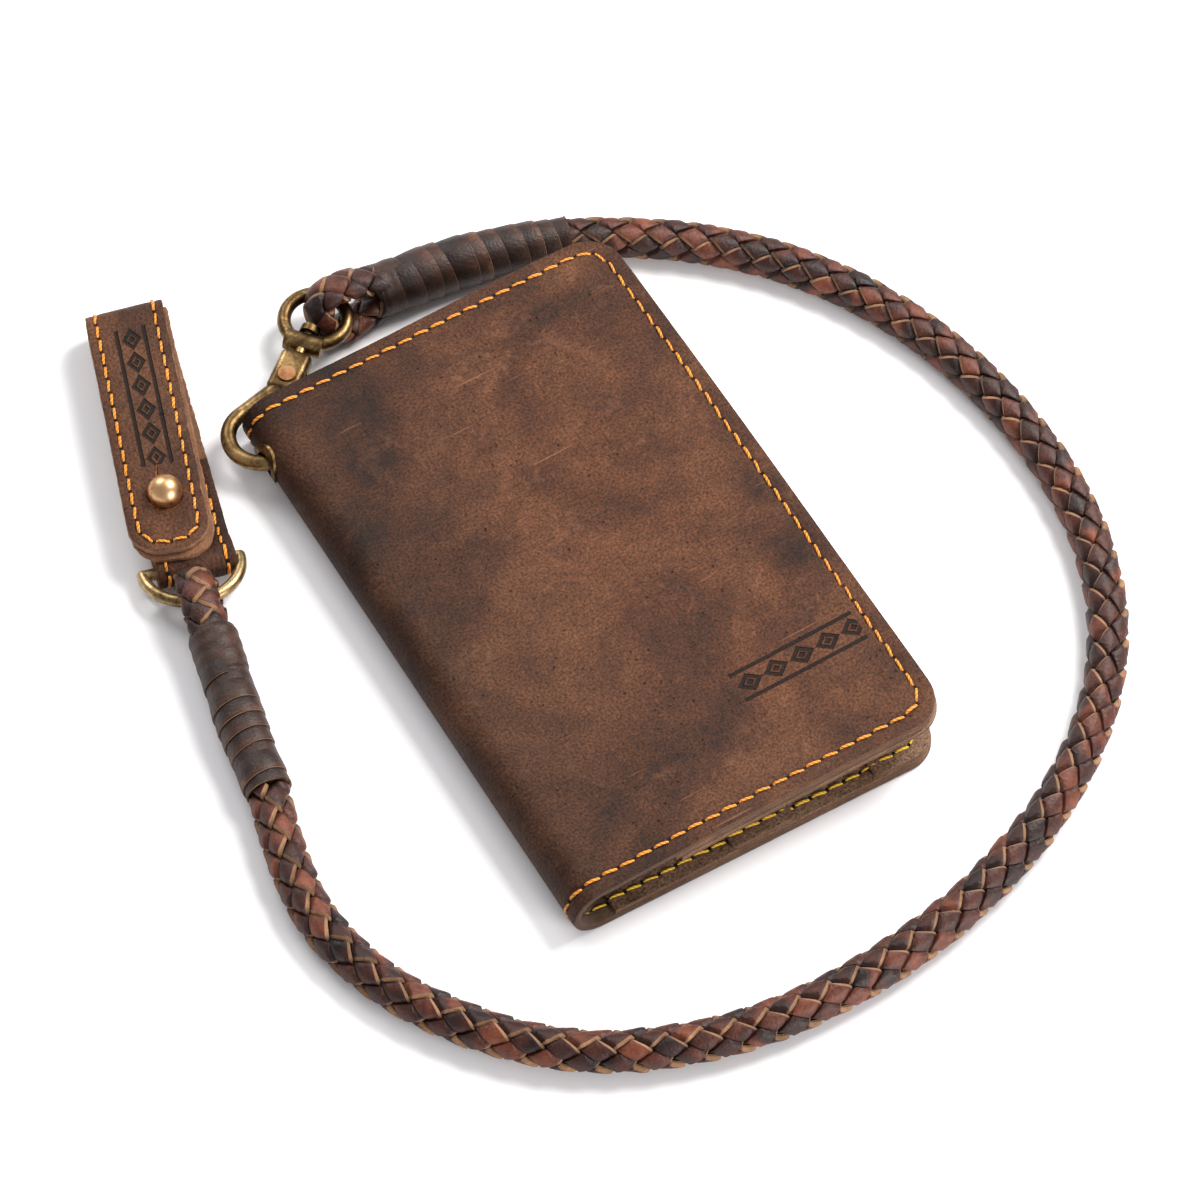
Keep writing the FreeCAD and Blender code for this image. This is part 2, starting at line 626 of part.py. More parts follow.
def cord_loop(label, inner, thick, width_alias, leg, place):
    """The cord's end folded round a wire: two legs side by side and a half turn, lying along local -Y."""
    bend = inner + thick / 2
    outline = ribbon((-leg, -bend), 0, [(leg,), (bend, 180), (leg,)], thick)
    return node(body_pad(label, outline, "YZ_Plane", f"[{width_alias}]", place, midplane=True), label)


# The loop in the swivel eye opens at the side of the eye that faces the hook end's whipping.
eye_centre = hook_frame.multVec(Vector(eye_middle, 0, 0))
hook_loop_bend = Vector(eye_centre.x + size("eye_radius") - size("loop_slack"), eye_centre.y, hook_z)
cord_loop("loop_hook_end", size("hook_loop_inner"), size("hook_loop_thick"), "hook_loop_width",
          size("hook_loop_leg"), Placement(hook_loop_bend, turned(Z_AXIS, 90)))
belt_loop_place = strap_frame * Placement(Vector(0, -ring_reach + size("loop_slack"), belt_loop_level), Rotation())
cord_loop("loop_belt_end", size("belt_loop_inner"), size("belt_loop_thick"), "belt_loop_width",
          size("belt_loop_leg"), belt_loop_place)

# ---------------------------------------------------------------- checks and files

doc.recompute()
for obj in doc.Objects:
    if "Invalid" in obj.State or "Error" in obj.State:
        raise RuntimeError(f"{obj.Name} failed: {obj.State}")
for obj in nodes:
    if obj.Shape.isNull() or not obj.Shape.isValid() or not obj.Shape.Solids:
        raise RuntimeError(f"{obj.Label} has no valid solid")

os.makedirs("parts", exist_ok=True)
for obj in nodes:
    obj.Shape.exportStep(os.path.join("parts", f"{obj.Label}.step"))
    box = obj.Shape.BoundBox
    print(f"{obj.Label:18s} solids {len(obj.Shape.Solids)} volume {obj.Shape.Volume:9.1f}"
          f"  x {box.XMin:7.1f} {box.XMax:7.1f}  y {box.YMin:7.1f} {box.YMax:7.1f}  z {box.ZMin:5.1f} {box.ZMax:5.1f}")
print("eyelet at y", round(eyelet_y, 2), "rivet", hook_frame.multVec(Vector(size("rivet_at"), 0, 0)),
      "eye", eye_centre, "ring wire", strap_frame.multVec(Vector(0, -ring_reach, belt_loop_level)),
      "bar", strap_frame.multVec(Vector(0, 0, bar_level)), "top fold",
      strap_frame.multVec(Vector(0, fold_top_y, size("strap_height") / 2)))
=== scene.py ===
import math

import bpy
import numpy as np
from mathutils import Matrix, Vector


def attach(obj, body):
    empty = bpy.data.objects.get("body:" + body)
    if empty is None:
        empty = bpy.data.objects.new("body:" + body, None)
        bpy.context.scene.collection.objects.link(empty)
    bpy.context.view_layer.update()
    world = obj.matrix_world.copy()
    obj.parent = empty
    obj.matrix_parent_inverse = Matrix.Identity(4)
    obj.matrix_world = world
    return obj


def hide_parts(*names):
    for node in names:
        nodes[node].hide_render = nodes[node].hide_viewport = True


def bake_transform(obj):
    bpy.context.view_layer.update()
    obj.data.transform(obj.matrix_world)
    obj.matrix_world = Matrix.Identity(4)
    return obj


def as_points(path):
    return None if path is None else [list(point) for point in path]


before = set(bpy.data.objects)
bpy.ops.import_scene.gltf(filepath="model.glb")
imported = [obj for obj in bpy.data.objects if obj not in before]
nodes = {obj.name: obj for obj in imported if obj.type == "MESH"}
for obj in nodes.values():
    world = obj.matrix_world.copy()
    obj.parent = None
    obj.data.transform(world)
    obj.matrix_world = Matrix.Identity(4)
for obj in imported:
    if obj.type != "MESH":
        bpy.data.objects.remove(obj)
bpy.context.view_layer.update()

# Chain wallet. Lengths in this file are in millimetres until a mesh is made; the frame is the record's:
# +X from the spine to the free edge, +Y along the spine towards the hook, +Z up off the table.

MM = 0.001
rng = np.random.default_rng(7)


# ---------------------------------------------------------------- shader helpers

class Shader:
    """A material's node tree with short calls for the nodes used here."""

    def __init__(self, name):
        self.material = bpy.data.materials.new(name)
        self.material.use_nodes = True
        self.tree = self.material.node_tree
        self.tree.nodes.clear()
        self.out = self.tree.nodes.new("ShaderNodeOutputMaterial")
        self.bsdf = self.tree.nodes.new("ShaderNodeBsdfPrincipled")
        self.tree.links.new(self.bsdf.outputs[0], self.out.inputs[0])

    def put(self, socket, value):
        if isinstance(value, bpy.types.NodeSocket):
            self.tree.links.new(value, socket)
        elif value is not None:
            if isinstance(value, (tuple, list)) and len(value) == 3 and socket.type == "RGBA":
                value = (*value, 1)
            socket.default_value = value

    def math(self, op, a, b=None, c=None, clamp=False):
        node = self.tree.nodes.new("ShaderNodeMath")
        node.operation = op
        node.use_clamp = clamp
        for socket, value in zip(node.inputs, (a, b, c)):
            self.put(socket, value)
        return node.outputs[0]

    def weighed(self, *terms):
        """The sum of some values, each times its weight."""
        total = None
        for value, weight in terms:
            part = self.math("MULTIPLY", value, weight)
            total = part if total is None else self.math("ADD", total, part)
        return total

    def vector(self, op, a, b=None):
        node = self.tree.nodes.new("ShaderNodeVectorMath")
        node.operation = op
        self.put(node.inputs[0], a)
        self.put(node.inputs[1], b)
        return node.outputs[0]

    def coords(self, source):
        if source == "UV":
            node = self.tree.nodes.new("ShaderNodeUVMap")
            node.uv_map = "UVMap"
            return node.outputs[0]
        node = self.tree.nodes.new("ShaderNodeTexCoord")
        return node.outputs[source]

    def mapped(self, vector, scale=(1, 1, 1), turn=0.0):
        node = self.tree.nodes.new("ShaderNodeMapping")
        self.put(node.inputs["Vector"], vector)
        node.inputs["Scale"].default_value = scale
        node.inputs["Rotation"].default_value = (0, 0, turn)
        return node.outputs[0]

    def noise(self, vector, scale, detail=3.0, rough=0.55, distort=0.0):
        node = self.tree.nodes.new("ShaderNodeTexNoise")
        self.put(node.inputs["Vector"], vector)
        node.inputs["Scale"].default_value = scale
        node.inputs["Detail"].default_value = detail
        node.inputs["Roughness"].default_value = rough
        node.inputs["Distortion"].default_value = distort
        return node.outputs[0]

    def cells(self, vector, scale, output="Distance"):
        node = self.tree.nodes.new("ShaderNodeTexVoronoi")
        self.put(node.inputs["Vector"], vector)
        node.inputs["Scale"].default_value = scale
        return node.outputs[output]

    def ramp(self, factor, *stops):
        node = self.tree.nodes.new("ShaderNodeValToRGB")
        self.put(node.inputs[0], factor)
        elements = node.color_ramp.elements
        while len(elements) < len(stops):
            elements.new(0.5)
        for element, (at, color) in zip(elements, stops):
            element.position = at
            element.color = (*color, 1) if isinstance(color, (tuple, list)) else (color, color, color, 1)
        return node.outputs[0]

    def mix(self, factor, a, b, blend="MIX"):
        node = self.tree.nodes.new("ShaderNodeMix")
        node.data_type = "RGBA"
        node.blend_type = blend
        self.put(node.inputs[0], factor)
        self.put(node.inputs[6], a)
        self.put(node.inputs[7], b)
        return node.outputs[2]

    def separate(self, color):
        node = self.tree.nodes.new("ShaderNodeSeparateXYZ")
        self.put(node.inputs[0], color)
        return node.outputs

    def tone(self):
        """The mesh's own painted tone: the first value is brightness, the second wear or shade; on some meshes both
        carry painted light and shade.
        """
        node = self.tree.nodes.new("ShaderNodeAttribute")
        node.attribute_name = "tone"
        split = self.tree.nodes.new("ShaderNodeSeparateColor")
        self.tree.links.new(node.outputs["Color"], split.inputs[0])
        return split.outputs

    def toned(self, color, brightness):
        """A colour times twice the painted brightness."""
        bright = self.tree.nodes.new("ShaderNodeCombineXYZ")
        for socket in bright.inputs:
            self.put(socket, self.math("MULTIPLY", brightness, 2.0))
        return self.mix(1.0, color, bright.outputs[0], "MULTIPLY")

    def bump(self, height, depth_mm, strength=1.0, normal=None):
        node = self.tree.nodes.new("ShaderNodeBump")
        self.put(node.inputs["Height"], height)
        node.inputs["Distance"].default_value = depth_mm * MM
        node.inputs["Strength"].default_value = strength
        self.put(node.inputs["Normal"], normal)
        return node.outputs[0]

    def finish(self, color, roughness, normal=None, metallic=0.0, specular=0.5, sheen=0.0):
        self.put(self.bsdf.inputs["Base Color"], color)
        self.put(self.bsdf.inputs["Roughness"], roughness)
        self.put(self.bsdf.inputs["Normal"], normal)
        self.bsdf.inputs["Metallic"].default_value = metallic
        self.bsdf.inputs["Specular IOR Level"].default_value = specular
        self.bsdf.inputs["Sheen Weight"].default_value = sheen
        return self.material


def paler(color, times):
    return tuple(min(1, times * c + 0.02) for c in color)


def darker(color, times):
    return tuple(times * c for c in color)


def waxed_leather(name, dark, mid, light, motif=None, scuffs=1.0):
    """Pull-up leather: cloudy colour, fine grain, dark specks, pale rubs and scratches."""
    s = Shader(name)
    at = s.coords("UV")
    cloud = s.noise(at, 26, 4, 0.6, 0.6)
    patch = s.noise(at, 95, 4, 0.6, 0.3)
    mottle = s.noise(at, 520, 4, 0.65)
    grain = s.noise(at, 1700, 3, 0.6)
    brightness, wear = s.tone()[:2]
    blend = s.weighed((cloud, 0.58), (patch, 0.27), (mottle, 0.15))
    color = s.ramp(blend, (0.36, dark), (0.49, mid), (0.65, light))
    color = s.mix(0.8, color, s.ramp(grain, (0.36, 0.36), (0.66, 1.62)), "MULTIPLY")
    # rubs: pale, warm patches that come and go
    rub = s.math("MULTIPLY", s.ramp(s.noise(at, 60, 5, 0.7, 1.2), (0.56, 0.0), (0.74, 1.0)),
                 s.ramp(mottle, (0.38, 0.0), (0.66, 1.0)))
    color = s.mix(s.math("MULTIPLY", rub, 0.42 * scuffs), color, paler(light, 1.9))
    # scratches: short pale hairlines in three directions
    for turn, shift in ((0.5, 0.0), (-0.9, 3.1), (1.7, 6.4)):
        lines = s.mapped(s.vector("ADD", at, (shift, shift * 0.7, 0)), (34, 900, 1), turn)
        hair = s.ramp(s.noise(lines, 1.0, 2, 0.5, 0.15), (0.735, 0.0), (0.76, 1.0))
        color = s.mix(s.math("MULTIPLY", hair, 0.34 * scuffs), color, paler(light, 2.6))
    # specks: pores filled with dark wax, thicker in some places
    where = s.ramp(s.noise(at, 42, 3, 0.6, 0.4), (0.45, 0.0), (0.7, 1.0))
    pores = s.ramp(s.cells(at, 640), (0.10, 1.0), (0.24, 0.0))
    chosen = s.ramp(s.separate(s.cells(at, 640, "Color"))[0], (0.72, 0.0), (0.76, 1.0))
    speck = s.math("MULTIPLY", s.math("MULTIPLY", pores, chosen), s.math("ADD", where, 0.35), clamp=True)
    color = s.mix(s.math("MULTIPLY", speck, 0.72), color, darker(dark, 0.28))
    smudge = s.ramp(s.noise(s.vector("ADD", at, (0.31, 0.17, 0)), 75, 4, 0.75, 0.8), (0.62, 0.0), (0.78, 1.0))
    color = s.mix(s.math("MULTIPLY", smudge, 0.26), color, darker(dark, 0.55))
    color = s.mix(1.0, color, s.mix(wear, (1, 1, 1), (1.5, 1.3, 1.15)), "MULTIPLY")
    # times the painted brightness, which on the cover holds painted shade towards the spine
    color = s.toned(color, brightness)
    height = s.math("SUBTRACT", s.weighed((grain, 0.35), (mottle, 0.65)), s.math("MULTIPLY", speck, 0.5))
    normal = s.bump(height, 0.5)
    crease = s.noise(s.mapped(at, (1, 1.6, 1), 0.6), 210, 4, 0.6, 1.5)
    normal = s.bump(crease, 0.35, 0.25, normal)
    if motif is not None:
        pressed = motif(s, at)
        normal = s.bump(s.math("SUBTRACT", 1.0, pressed), 0.5, 0.9, normal)
        color = s.mix(s.math("MULTIPLY", pressed, 0.93), color, darker(dark, 0.2))
    roughness = s.math("ADD", 0.46, s.weighed((patch, 0.22), (mottle, 0.12)))
    return s.finish(color, roughness, normal, specular=0.2)


def raw_leather(name, dark, light, fibre=1.0):
    """Cut edges and suede sides: fibrous, matt, pale."""
    s = Shader(name)
    at = s.coords("Object")
    fine = s.noise(at, 2400, 4, 0.7)
    coarse = s.noise(at, 420, 4, 0.6, 0.4)
    wide = s.noise(at, 60, 3, 0.6)
    color = s.ramp(s.weighed((fine, 0.4), (coarse, 0.35), (wide, 0.25)), (0.34, dark), (0.66, light))
    color = s.toned(color, s.tone()[0])
    normal = s.bump(s.math("ADD", fine, coarse), 0.3 * fibre, 0.8)
    return s.finish(color, s.math("ADD", 0.78, s.math("MULTIPLY", coarse, 0.18)), normal, specular=0.25, sheen=0.12)


def strand_leather(name, dark, mid, light):
    """Dyed strands: glossy where they bulge, with cloudy dye and fine grain."""
    s = Shader(name)
    at = s.coords("Object")
    brightness, shade = s.tone()[:2]
    cloud = s.noise(at, 180, 4, 0.65, 0.5)
    grain = s.noise(at, 1500, 4, 0.7)
    # the second painted value is the strands' own tone, and on the whipping also a painted highlight on each turn's
    # crest
    blend = s.weighed((cloud, 0.5), (grain, 0.24), (shade, 0.26))
    # the painted brightness holds painted shade where braid strands dive, and on the whipping a painted highlight on
    # each turn's crest
    color = s.toned(s.ramp(blend, (0.3, dark), (0.5, mid), (0.7, light)), brightness)
    worn = s.ramp(s.noise(at, 700, 5, 0.75), (0.62, 0.0), (0.8, 1.0))
    color = s.mix(s.math("MULTIPLY", worn, 0.3), color, paler(light, 1.7))
    normal = s.bump(s.weighed((grain, 0.7), (s.cells(at, 1500), 0.5)), 0.22, 0.6)
    return s.finish(color, s.math("ADD", 0.36, s.math("MULTIPLY", cloud, 0.26)), normal, specular=0.34)


def aged_metal(name, dark, mid, bright, rough=0.24, patina=0.5):
    """Antiqued plating: brown lacquer left in patches, rubbed bright elsewhere."""
    s = Shader(name)
    at = s.coords("Object")
    wide = s.noise(at, 190, 4, 0.6, 0.7)
    fine = s.noise(at, 1300, 4, 0.7)
    blend = s.weighed((wide, 0.75), (fine, 0.25))
    color = s.ramp(blend, (0.36, dark), (0.36 + 0.26 * patina, mid), (0.72, bright))
    scratch = s.noise(s.mapped(at, (300, 3200, 900), 0.4), 1.0, 3, 0.6)
    normal = s.bump(s.weighed((fine, 0.6), (scratch, 0.4)), 0.06, 0.5)
    roughness = s.math("ADD", rough, s.math("MULTIPLY", s.math("SUBTRACT", 1.0, blend), 0.34))
    return s.finish(color, roughness, normal, metallic=1.0)


def thread_material(name, dark, light):
    """Waxed twisted thread: the twist runs slantwise along each stitch."""
    s = Shader(name)
    at = s.coords("UV")
    twist = s.tree.nodes.new("ShaderNodeTexWave")
    twist.wave_type = "BANDS"
    s.put(twist.inputs["Vector"], s.mapped(at, (1, 1, 1), 0.85))
    twist.inputs["Scale"].default_value = 420
    twist.inputs["Distortion"].default_value = 1.0
    fuzz = s.noise(s.coords("Object"), 3000, 3, 0.7)
    blend = s.weighed((twist.outputs[1], 0.6), (fuzz, 0.4))
    color = s.ramp(blend, (0.2, dark), (0.75, light))
    normal = s.bump(blend, 0.12, 0.7)
    return s.finish(color, s.math("ADD", 0.42, s.math("MULTIPLY", fuzz, 0.25)), normal, specular=0.4, sheen=0.1)


def dark_hole(name):
    """The shade in a stitch's hole."""
    s = Shader(name)
    fine = s.noise(s.coords("Object"), 2500, 3, 0.6)
    return s.finish(s.ramp(fine, (0.3, (0.006, 0.004, 0.003)), (0.7, (0.02, 0.012, 0.008))), 0.85, specular=0.1)


def pressed_row(x0, x1, y, half):
    """A pressed ornament: a row of diamonds between two lines, from x0 to x1 and half wide each side of y, in mm."""
    pitch = 6.2                         # from diamond to diamond
    line_width = 0.5

    def motif(s, at):
        parts = s.separate(at)
        along = s.math("SUBTRACT", s.math("DIVIDE", parts[0], MM), x0)
        across = s.math("ABSOLUTE", s.math("SUBTRACT", s.math("DIVIDE", parts[1], MM), y))
        inside = s.math("MULTIPLY", s.math("GREATER_THAN", along, 0.0), s.math("LESS_THAN", along, x1 - x0))
        cell = s.math("ABSOLUTE", s.math("SUBTRACT", s.math("FRACT", s.math("DIVIDE", along, pitch)), 0.5))
        diamond = s.math("ADD", s.math("DIVIDE", s.math("MULTIPLY", cell, pitch), 0.46 * pitch),
                         s.math("DIVIDE", across, 0.62 * half))
        from_ring = s.math("ABSOLUTE", s.math("SUBTRACT", diamond, 0.78))
        ring = s.math("SUBTRACT", 1.0, s.math("MULTIPLY", from_ring, 3.4), clamp=True)
        heart = s.math("SUBTRACT", 1.0, s.math("MULTIPLY", diamond, 2.4), clamp=True)
        from_line = s.math("ABSOLUTE", s.math("SUBTRACT", across, half - 0.3))
        rail = s.math("SUBTRACT", 1.0, s.math("DIVIDE", from_line, line_width), clamp=True)
        total = s.math("MULTIPLY", s.math("MAXIMUM", s.math("MAXIMUM", ring, heart), rail), inside)
        return s.math("SMOOTH_MIN", s.math("MULTIPLY", total, 2.2), 1.0, 0.2)

    return motif


# ---------------------------------------------------------------- mesh helpers

def make_mesh(name, points, faces, materials, face_materials=None, uvs=None, tones=None, sharp=50):
    """A mesh object from points in mm. uvs and tones are per point; uvs are in metres."""
    mesh = bpy.data.meshes.new(name)
    mesh.from_pydata((np.asarray(points, float) * MM).tolist(), [], [list(map(int, f)) for f in faces])
    for material in materials:
        mesh.materials.append(material)
    if face_materials is not None:
        mesh.polygons.foreach_set("material_index", np.asarray(face_materials, dtype=np.int32))
    loops = np.zeros(len(mesh.loops), dtype=np.int32)
    mesh.loops.foreach_get("vertex_index", loops)
    if uvs is None:
        uvs = np.asarray(points, float)[:, :2] * MM
    layer = mesh.uv_layers.new(name="UVMap")
    layer.data.foreach_set("uv", np.asarray(uvs, dtype=np.float32)[loops].ravel())
    color = mesh.attributes.new("tone", "FLOAT_COLOR", "POINT")
    rgba = np.tile(np.array([0.5, 0.0, 0.0, 1.0], dtype=np.float32), (len(points), 1))
    if tones is not None:
        rgba[:, :np.asarray(tones).shape[1]] = tones
    color.data.foreach_set("color", rgba.ravel())
    mesh.validate()
    mesh.shade_smooth()
    mesh.set_sharp_from_angle(angle=math.radians(sharp))
    obj = bpy.data.objects.new(name, mesh)
    bpy.context.scene.collection.objects.link(obj)
    return obj


class Ribbon:
    """A line in a plane made of straight runs (length,) and tangent arcs (radius, turn in degrees)."""

    def __init__(self, start, heading, steps):
        self.parts = []
        x, y, a, at = start[0], start[1], math.radians(heading), 0.0
        for step in steps:
            if len(step) == 1:
                length = step[0]
                self.parts.append((at, length, x, y, a, 0.0))
                x, y = x + length * math.cos(a), y + length * math.sin(a)
            else:
                radius, turn = step[0], math.radians(step[1])
                length = radius * abs(turn)
                bend = turn / length
                self.parts.append((at, length, x, y, a, bend))
                x += (math.sin(a + turn) - math.sin(a)) / bend
                y += (math.cos(a) - math.cos(a + turn)) / bend
                a += turn
            at += length
        self.length = at
        self.starts = np.array([p[0] for p in self.parts] + [at])

    def at(self, l):
        """Place and heading at each distance along the line."""
        l = np.asarray(l, float)
        which = np.clip(np.searchsorted(self.starts, l, side="right") - 1, 0, len(self.parts) - 1)
        table = np.array(self.parts)[which]
        d = l - table[..., 0]
        x, y, a, k = table[..., 2], table[..., 3], table[..., 4], table[..., 5]
        safe = np.where(np.abs(k) < 1e-9, 1.0, k)
        turned = a + k * d
        bx = np.where(np.abs(k) < 1e-9, x + d * np.cos(a), x + (np.sin(turned) - np.sin(a)) / safe)
        by = np.where(np.abs(k) < 1e-9, y + d * np.sin(a), y + (np.cos(a) - np.cos(turned)) / safe)
        return bx, by, turned


def outline_inset(u, v, u0, u1, half, r0, r1):
    """Distance from the edge of a leaf, positive inside; the leaf may be open at an end (r None)."""
    du0 = np.full_like(u, 1e3) if r0 is None else u - u0
    du1 = np.full_like(u, 1e3) if r1 is None else u1 - u
    dv = half - np.abs(v)
    result = np.minimum(np.minimum(du0, du1), dv)
    for du, r in ((du0, r0), (du1, r1)):
        if r:
            corner = (du < r) & (dv < r)
            result = np.where(corner, r - np.hypot(r - du, r - dv), result)
    return result


def spread(lines, start, end, step):
    """Sorted grid lines: the given ones and enough between them."""
    lines = sorted(set([start, end] + [x for x in lines if start < x < end]))
    result = []
    for a, b in zip(lines, lines[1:]):
        n = max(1, int(math.ceil((b - a) / step)))
        result += list(np.linspace(a, b, n, endpoint=False))
    return np.array(result + [lines[-1]])


SEAM = 3.35
SEAM_LINES = (0.6, 1.3, 2.1, 2.6, 2.95, 3.2, 3.35, 3.5, 3.75, 4.1, 4.7, 5.6, 7.0)


def leaf(name, place, u0, u1, half, r0, r1, thick, materials, step=2.4, groove=0.0, seam=SEAM, tone=None,
         rim=0.28, extent=None, rough=0.0):
    """A leather leaf: grain side, flesh side and cut rim in one closed mesh.

    place(u, v, h) gives the points in mm, h being the height over the leaf's middle. r0 and r1 are the
    corner radii at the two ends, or None where the leaf goes on in another piece. extent is the whole
    leather's length where the leaf is only a part of it, groove the depth of the seam's groove, and rough
    how far the cut edge frays.
    """
    near = [d / SEAM * seam for d in SEAM_LINES] if groove else [1.0, 3.0]
    full0, full1 = extent or (u0, u1)
    us = spread([full0 + d for d in near] + [full1 - d for d in near], u0, u1, step)
    fu = (us - u0) / (u1 - u0)
    vs = [half - d for d in near] + [d - half for d in near] + [0.0]
    corner = max(r0 or 0, r1 or 0)
    if corner:
        bend = [half - corner * (1 - math.sin(t)) for t in np.linspace(0, math.pi / 2, 13)[1:]]
        vs += bend + [-v for v in bend] + [half - corner, corner - half]
    vs = np.unique(np.round(spread(vs, -half, half, step), 5))
    keep = [0]
    for j in range(1, len(vs)):
        if vs[j] - vs[keep[-1]] > 0.045 or j == len(vs) - 1:
            keep.append(j)
    gv = vs[keep] / half
    nu, nv = len(fu), len(gv)

    def outline(i, j, d):
        """The leaf's grid, drawn in by d from its outline."""
        v = (half - d) * gv[j]

        def pull(r):
            if not r:
                return 0.0
            rr = np.maximum(r - d, 0.01)
            past = np.maximum(0.0, np.abs(v) - (half - d - rr))
            return rr - np.sqrt(np.maximum(rr * rr - past * past, 0.0))

        a = u0 + (0.0 if r0 is None else d) + pull(r0)
        b = u1 - (0.0 if r1 is None else d) - pull(r1)
        return a + (b - a) * fu[i], v

    def heights(u, v, side):
        d = outline_inset(u, v, full0, full1, half, r0, r1)
        h = np.full_like(u, thick / 2)
        if groove:
            h = h - groove * np.exp(-((d - seam) / 0.62) ** 2)
            h = h - groove * 0.5 * np.exp(-(d / 1.1) ** 2)
        return h * side

    blocks, uv, tones = [], [], []

    def add(u, v, h):
        """Adds points and gives the first one's number."""
        start = sum(len(b) for b in blocks)
        u, v = u.ravel(), v.ravel()
        blocks.append(place(u, v, h.ravel()))
        uv.append(np.stack([u, v], 1) * MM)
        if tone is not None:
            tones.append(tone(u, v))
        return start

    u, v = outline(*np.meshgrid(np.arange(nu), np.arange(nv), indexing="ij"), rim)
    top = add(u, v, heights(u, v, 1))
    bottom = add(u, v, heights(u, v, -1))
    faces, mats = [], []
    for i in range(nu - 1):
        for j in range(nv - 1):
            a, b, c, d = i * nv + j, (i + 1) * nv + j, (i + 1) * nv + j + 1, i * nv + j + 1
            faces.append((top + a, top + b, top + c, top + d))
            mats.append(0)
            faces.append((bottom + d, bottom + c, bottom + b, bottom + a))
            mats.append(1)

    # the rim goes round the grid's outer points; None stands for an end that another piece carries on
    loop = [(i, 0) for i in range(nu)]
    loop += [None, (nu - 1, nv - 1)] if r1 is None else [(nu - 1, j) for j in range(1, nv)]
    loop += [(i, nv - 1) for i in range(nu - 2, -1, -1)]
    loop += [None] if r0 is None else [(0, j) for j in range(nv - 2, -1, -1)]
    solid = [p for p in loop if p is not None]
    li, lj = np.array(solid).T
    rings = []
    for d, h in ((0.3 * rim, thick / 2 - 0.25 * rim), (0.0, thick / 2 - 1.0 * rim), (0.0, -thick / 2 + 1.0 * rim),
                 (0.3 * rim, -thick / 2 + 0.25 * rim)):
        fray = np.convolve(rng.normal(0, 1, len(li) + 4), [0.2, 0.5, 0.7, 0.5, 0.2], "valid") * rough
        ring_u, ring_v = outline(li, lj, d + np.abs(fray) - rough)
        drop = groove * 0.5 * (1 if h > 0 else -1)
        rings.append(add(ring_u, ring_v, np.full(len(li), h - drop)))
    index = {p: k for k, p in enumerate(solid)}
    levels = [lambda p: top + p[0] * nv + p[1]] + [
        (lambda p, r=r: r + index[p]) for r in rings] + [lambda p: bottom + p[0] * nv + p[1]]
    for p, q in zip(loop, loop[1:] + loop[:1]):
        if p is None or q is None or p == q:
            continue
        for n, (upper, lower) in enumerate(zip(levels, levels[1:])):
            faces.append((upper(p), lower(p), lower(q), upper(q)))
            mats.append(0 if n == 0 else 2 if n < 4 else 1)
    return make_mesh(name, np.concatenate(blocks), faces, materials, mats, np.concatenate(uv),
                     None if tone is None else np.concatenate(tones))


def cut_away(obj, *cutters):
    """Takes the cutters' volumes out of a mesh."""
    for cutter in cutters:
        modifier = obj.modifiers.new("cut", "BOOLEAN")
        modifier.operation = "DIFFERENCE"
        modifier.solver = "EXACT"
        modifier.object = cutter
    graph = bpy.context.evaluated_depsgraph_get()
    mesh = bpy.data.meshes.new_from_object(obj.evaluated_get(graph))
    obj.modifiers.clear()
    obj.data = mesh
    for cutter in cutters:
        bpy.data.objects.remove(cutter)


def rod(name, start, end, radius, material, sides=40):
    """A plain round cutter between two points in mm."""
    start, end = Vector(start), Vector(end)
    way = (end - start).normalized()
    side = way.orthogonal().normalized()
    other = way.cross(side)
    points, faces = [], []
    for base in (start, end):
        for k in range(sides):
            t = 2 * math.pi * k / sides
            points.append(tuple(base + radius * (math.cos(t) * side + math.sin(t) * other)))
    for k in range(sides):
        faces.append((k, (k + 1) % sides, sides + (k + 1) % sides, sides + k))
    faces.append(tuple(reversed(range(sides))))
    faces.append(tuple(range(sides, 2 * sides)))
    return make_mesh(name, points, faces, [material])


def slab(name, corners, z0, z1, material):
    """A plain upright cutter over some corners in mm."""
    points = [(x, y, z0) for x, y in corners] + [(x, y, z1) for x, y in corners]
    n = len(corners)
    faces = [tuple(reversed(range(n))), tuple(range(n, 2 * n))]
    faces += [(k, (k + 1) % n, n + (k + 1) % n, n + k) for k in range(n)]
    return make_mesh(name, points, faces, [material])


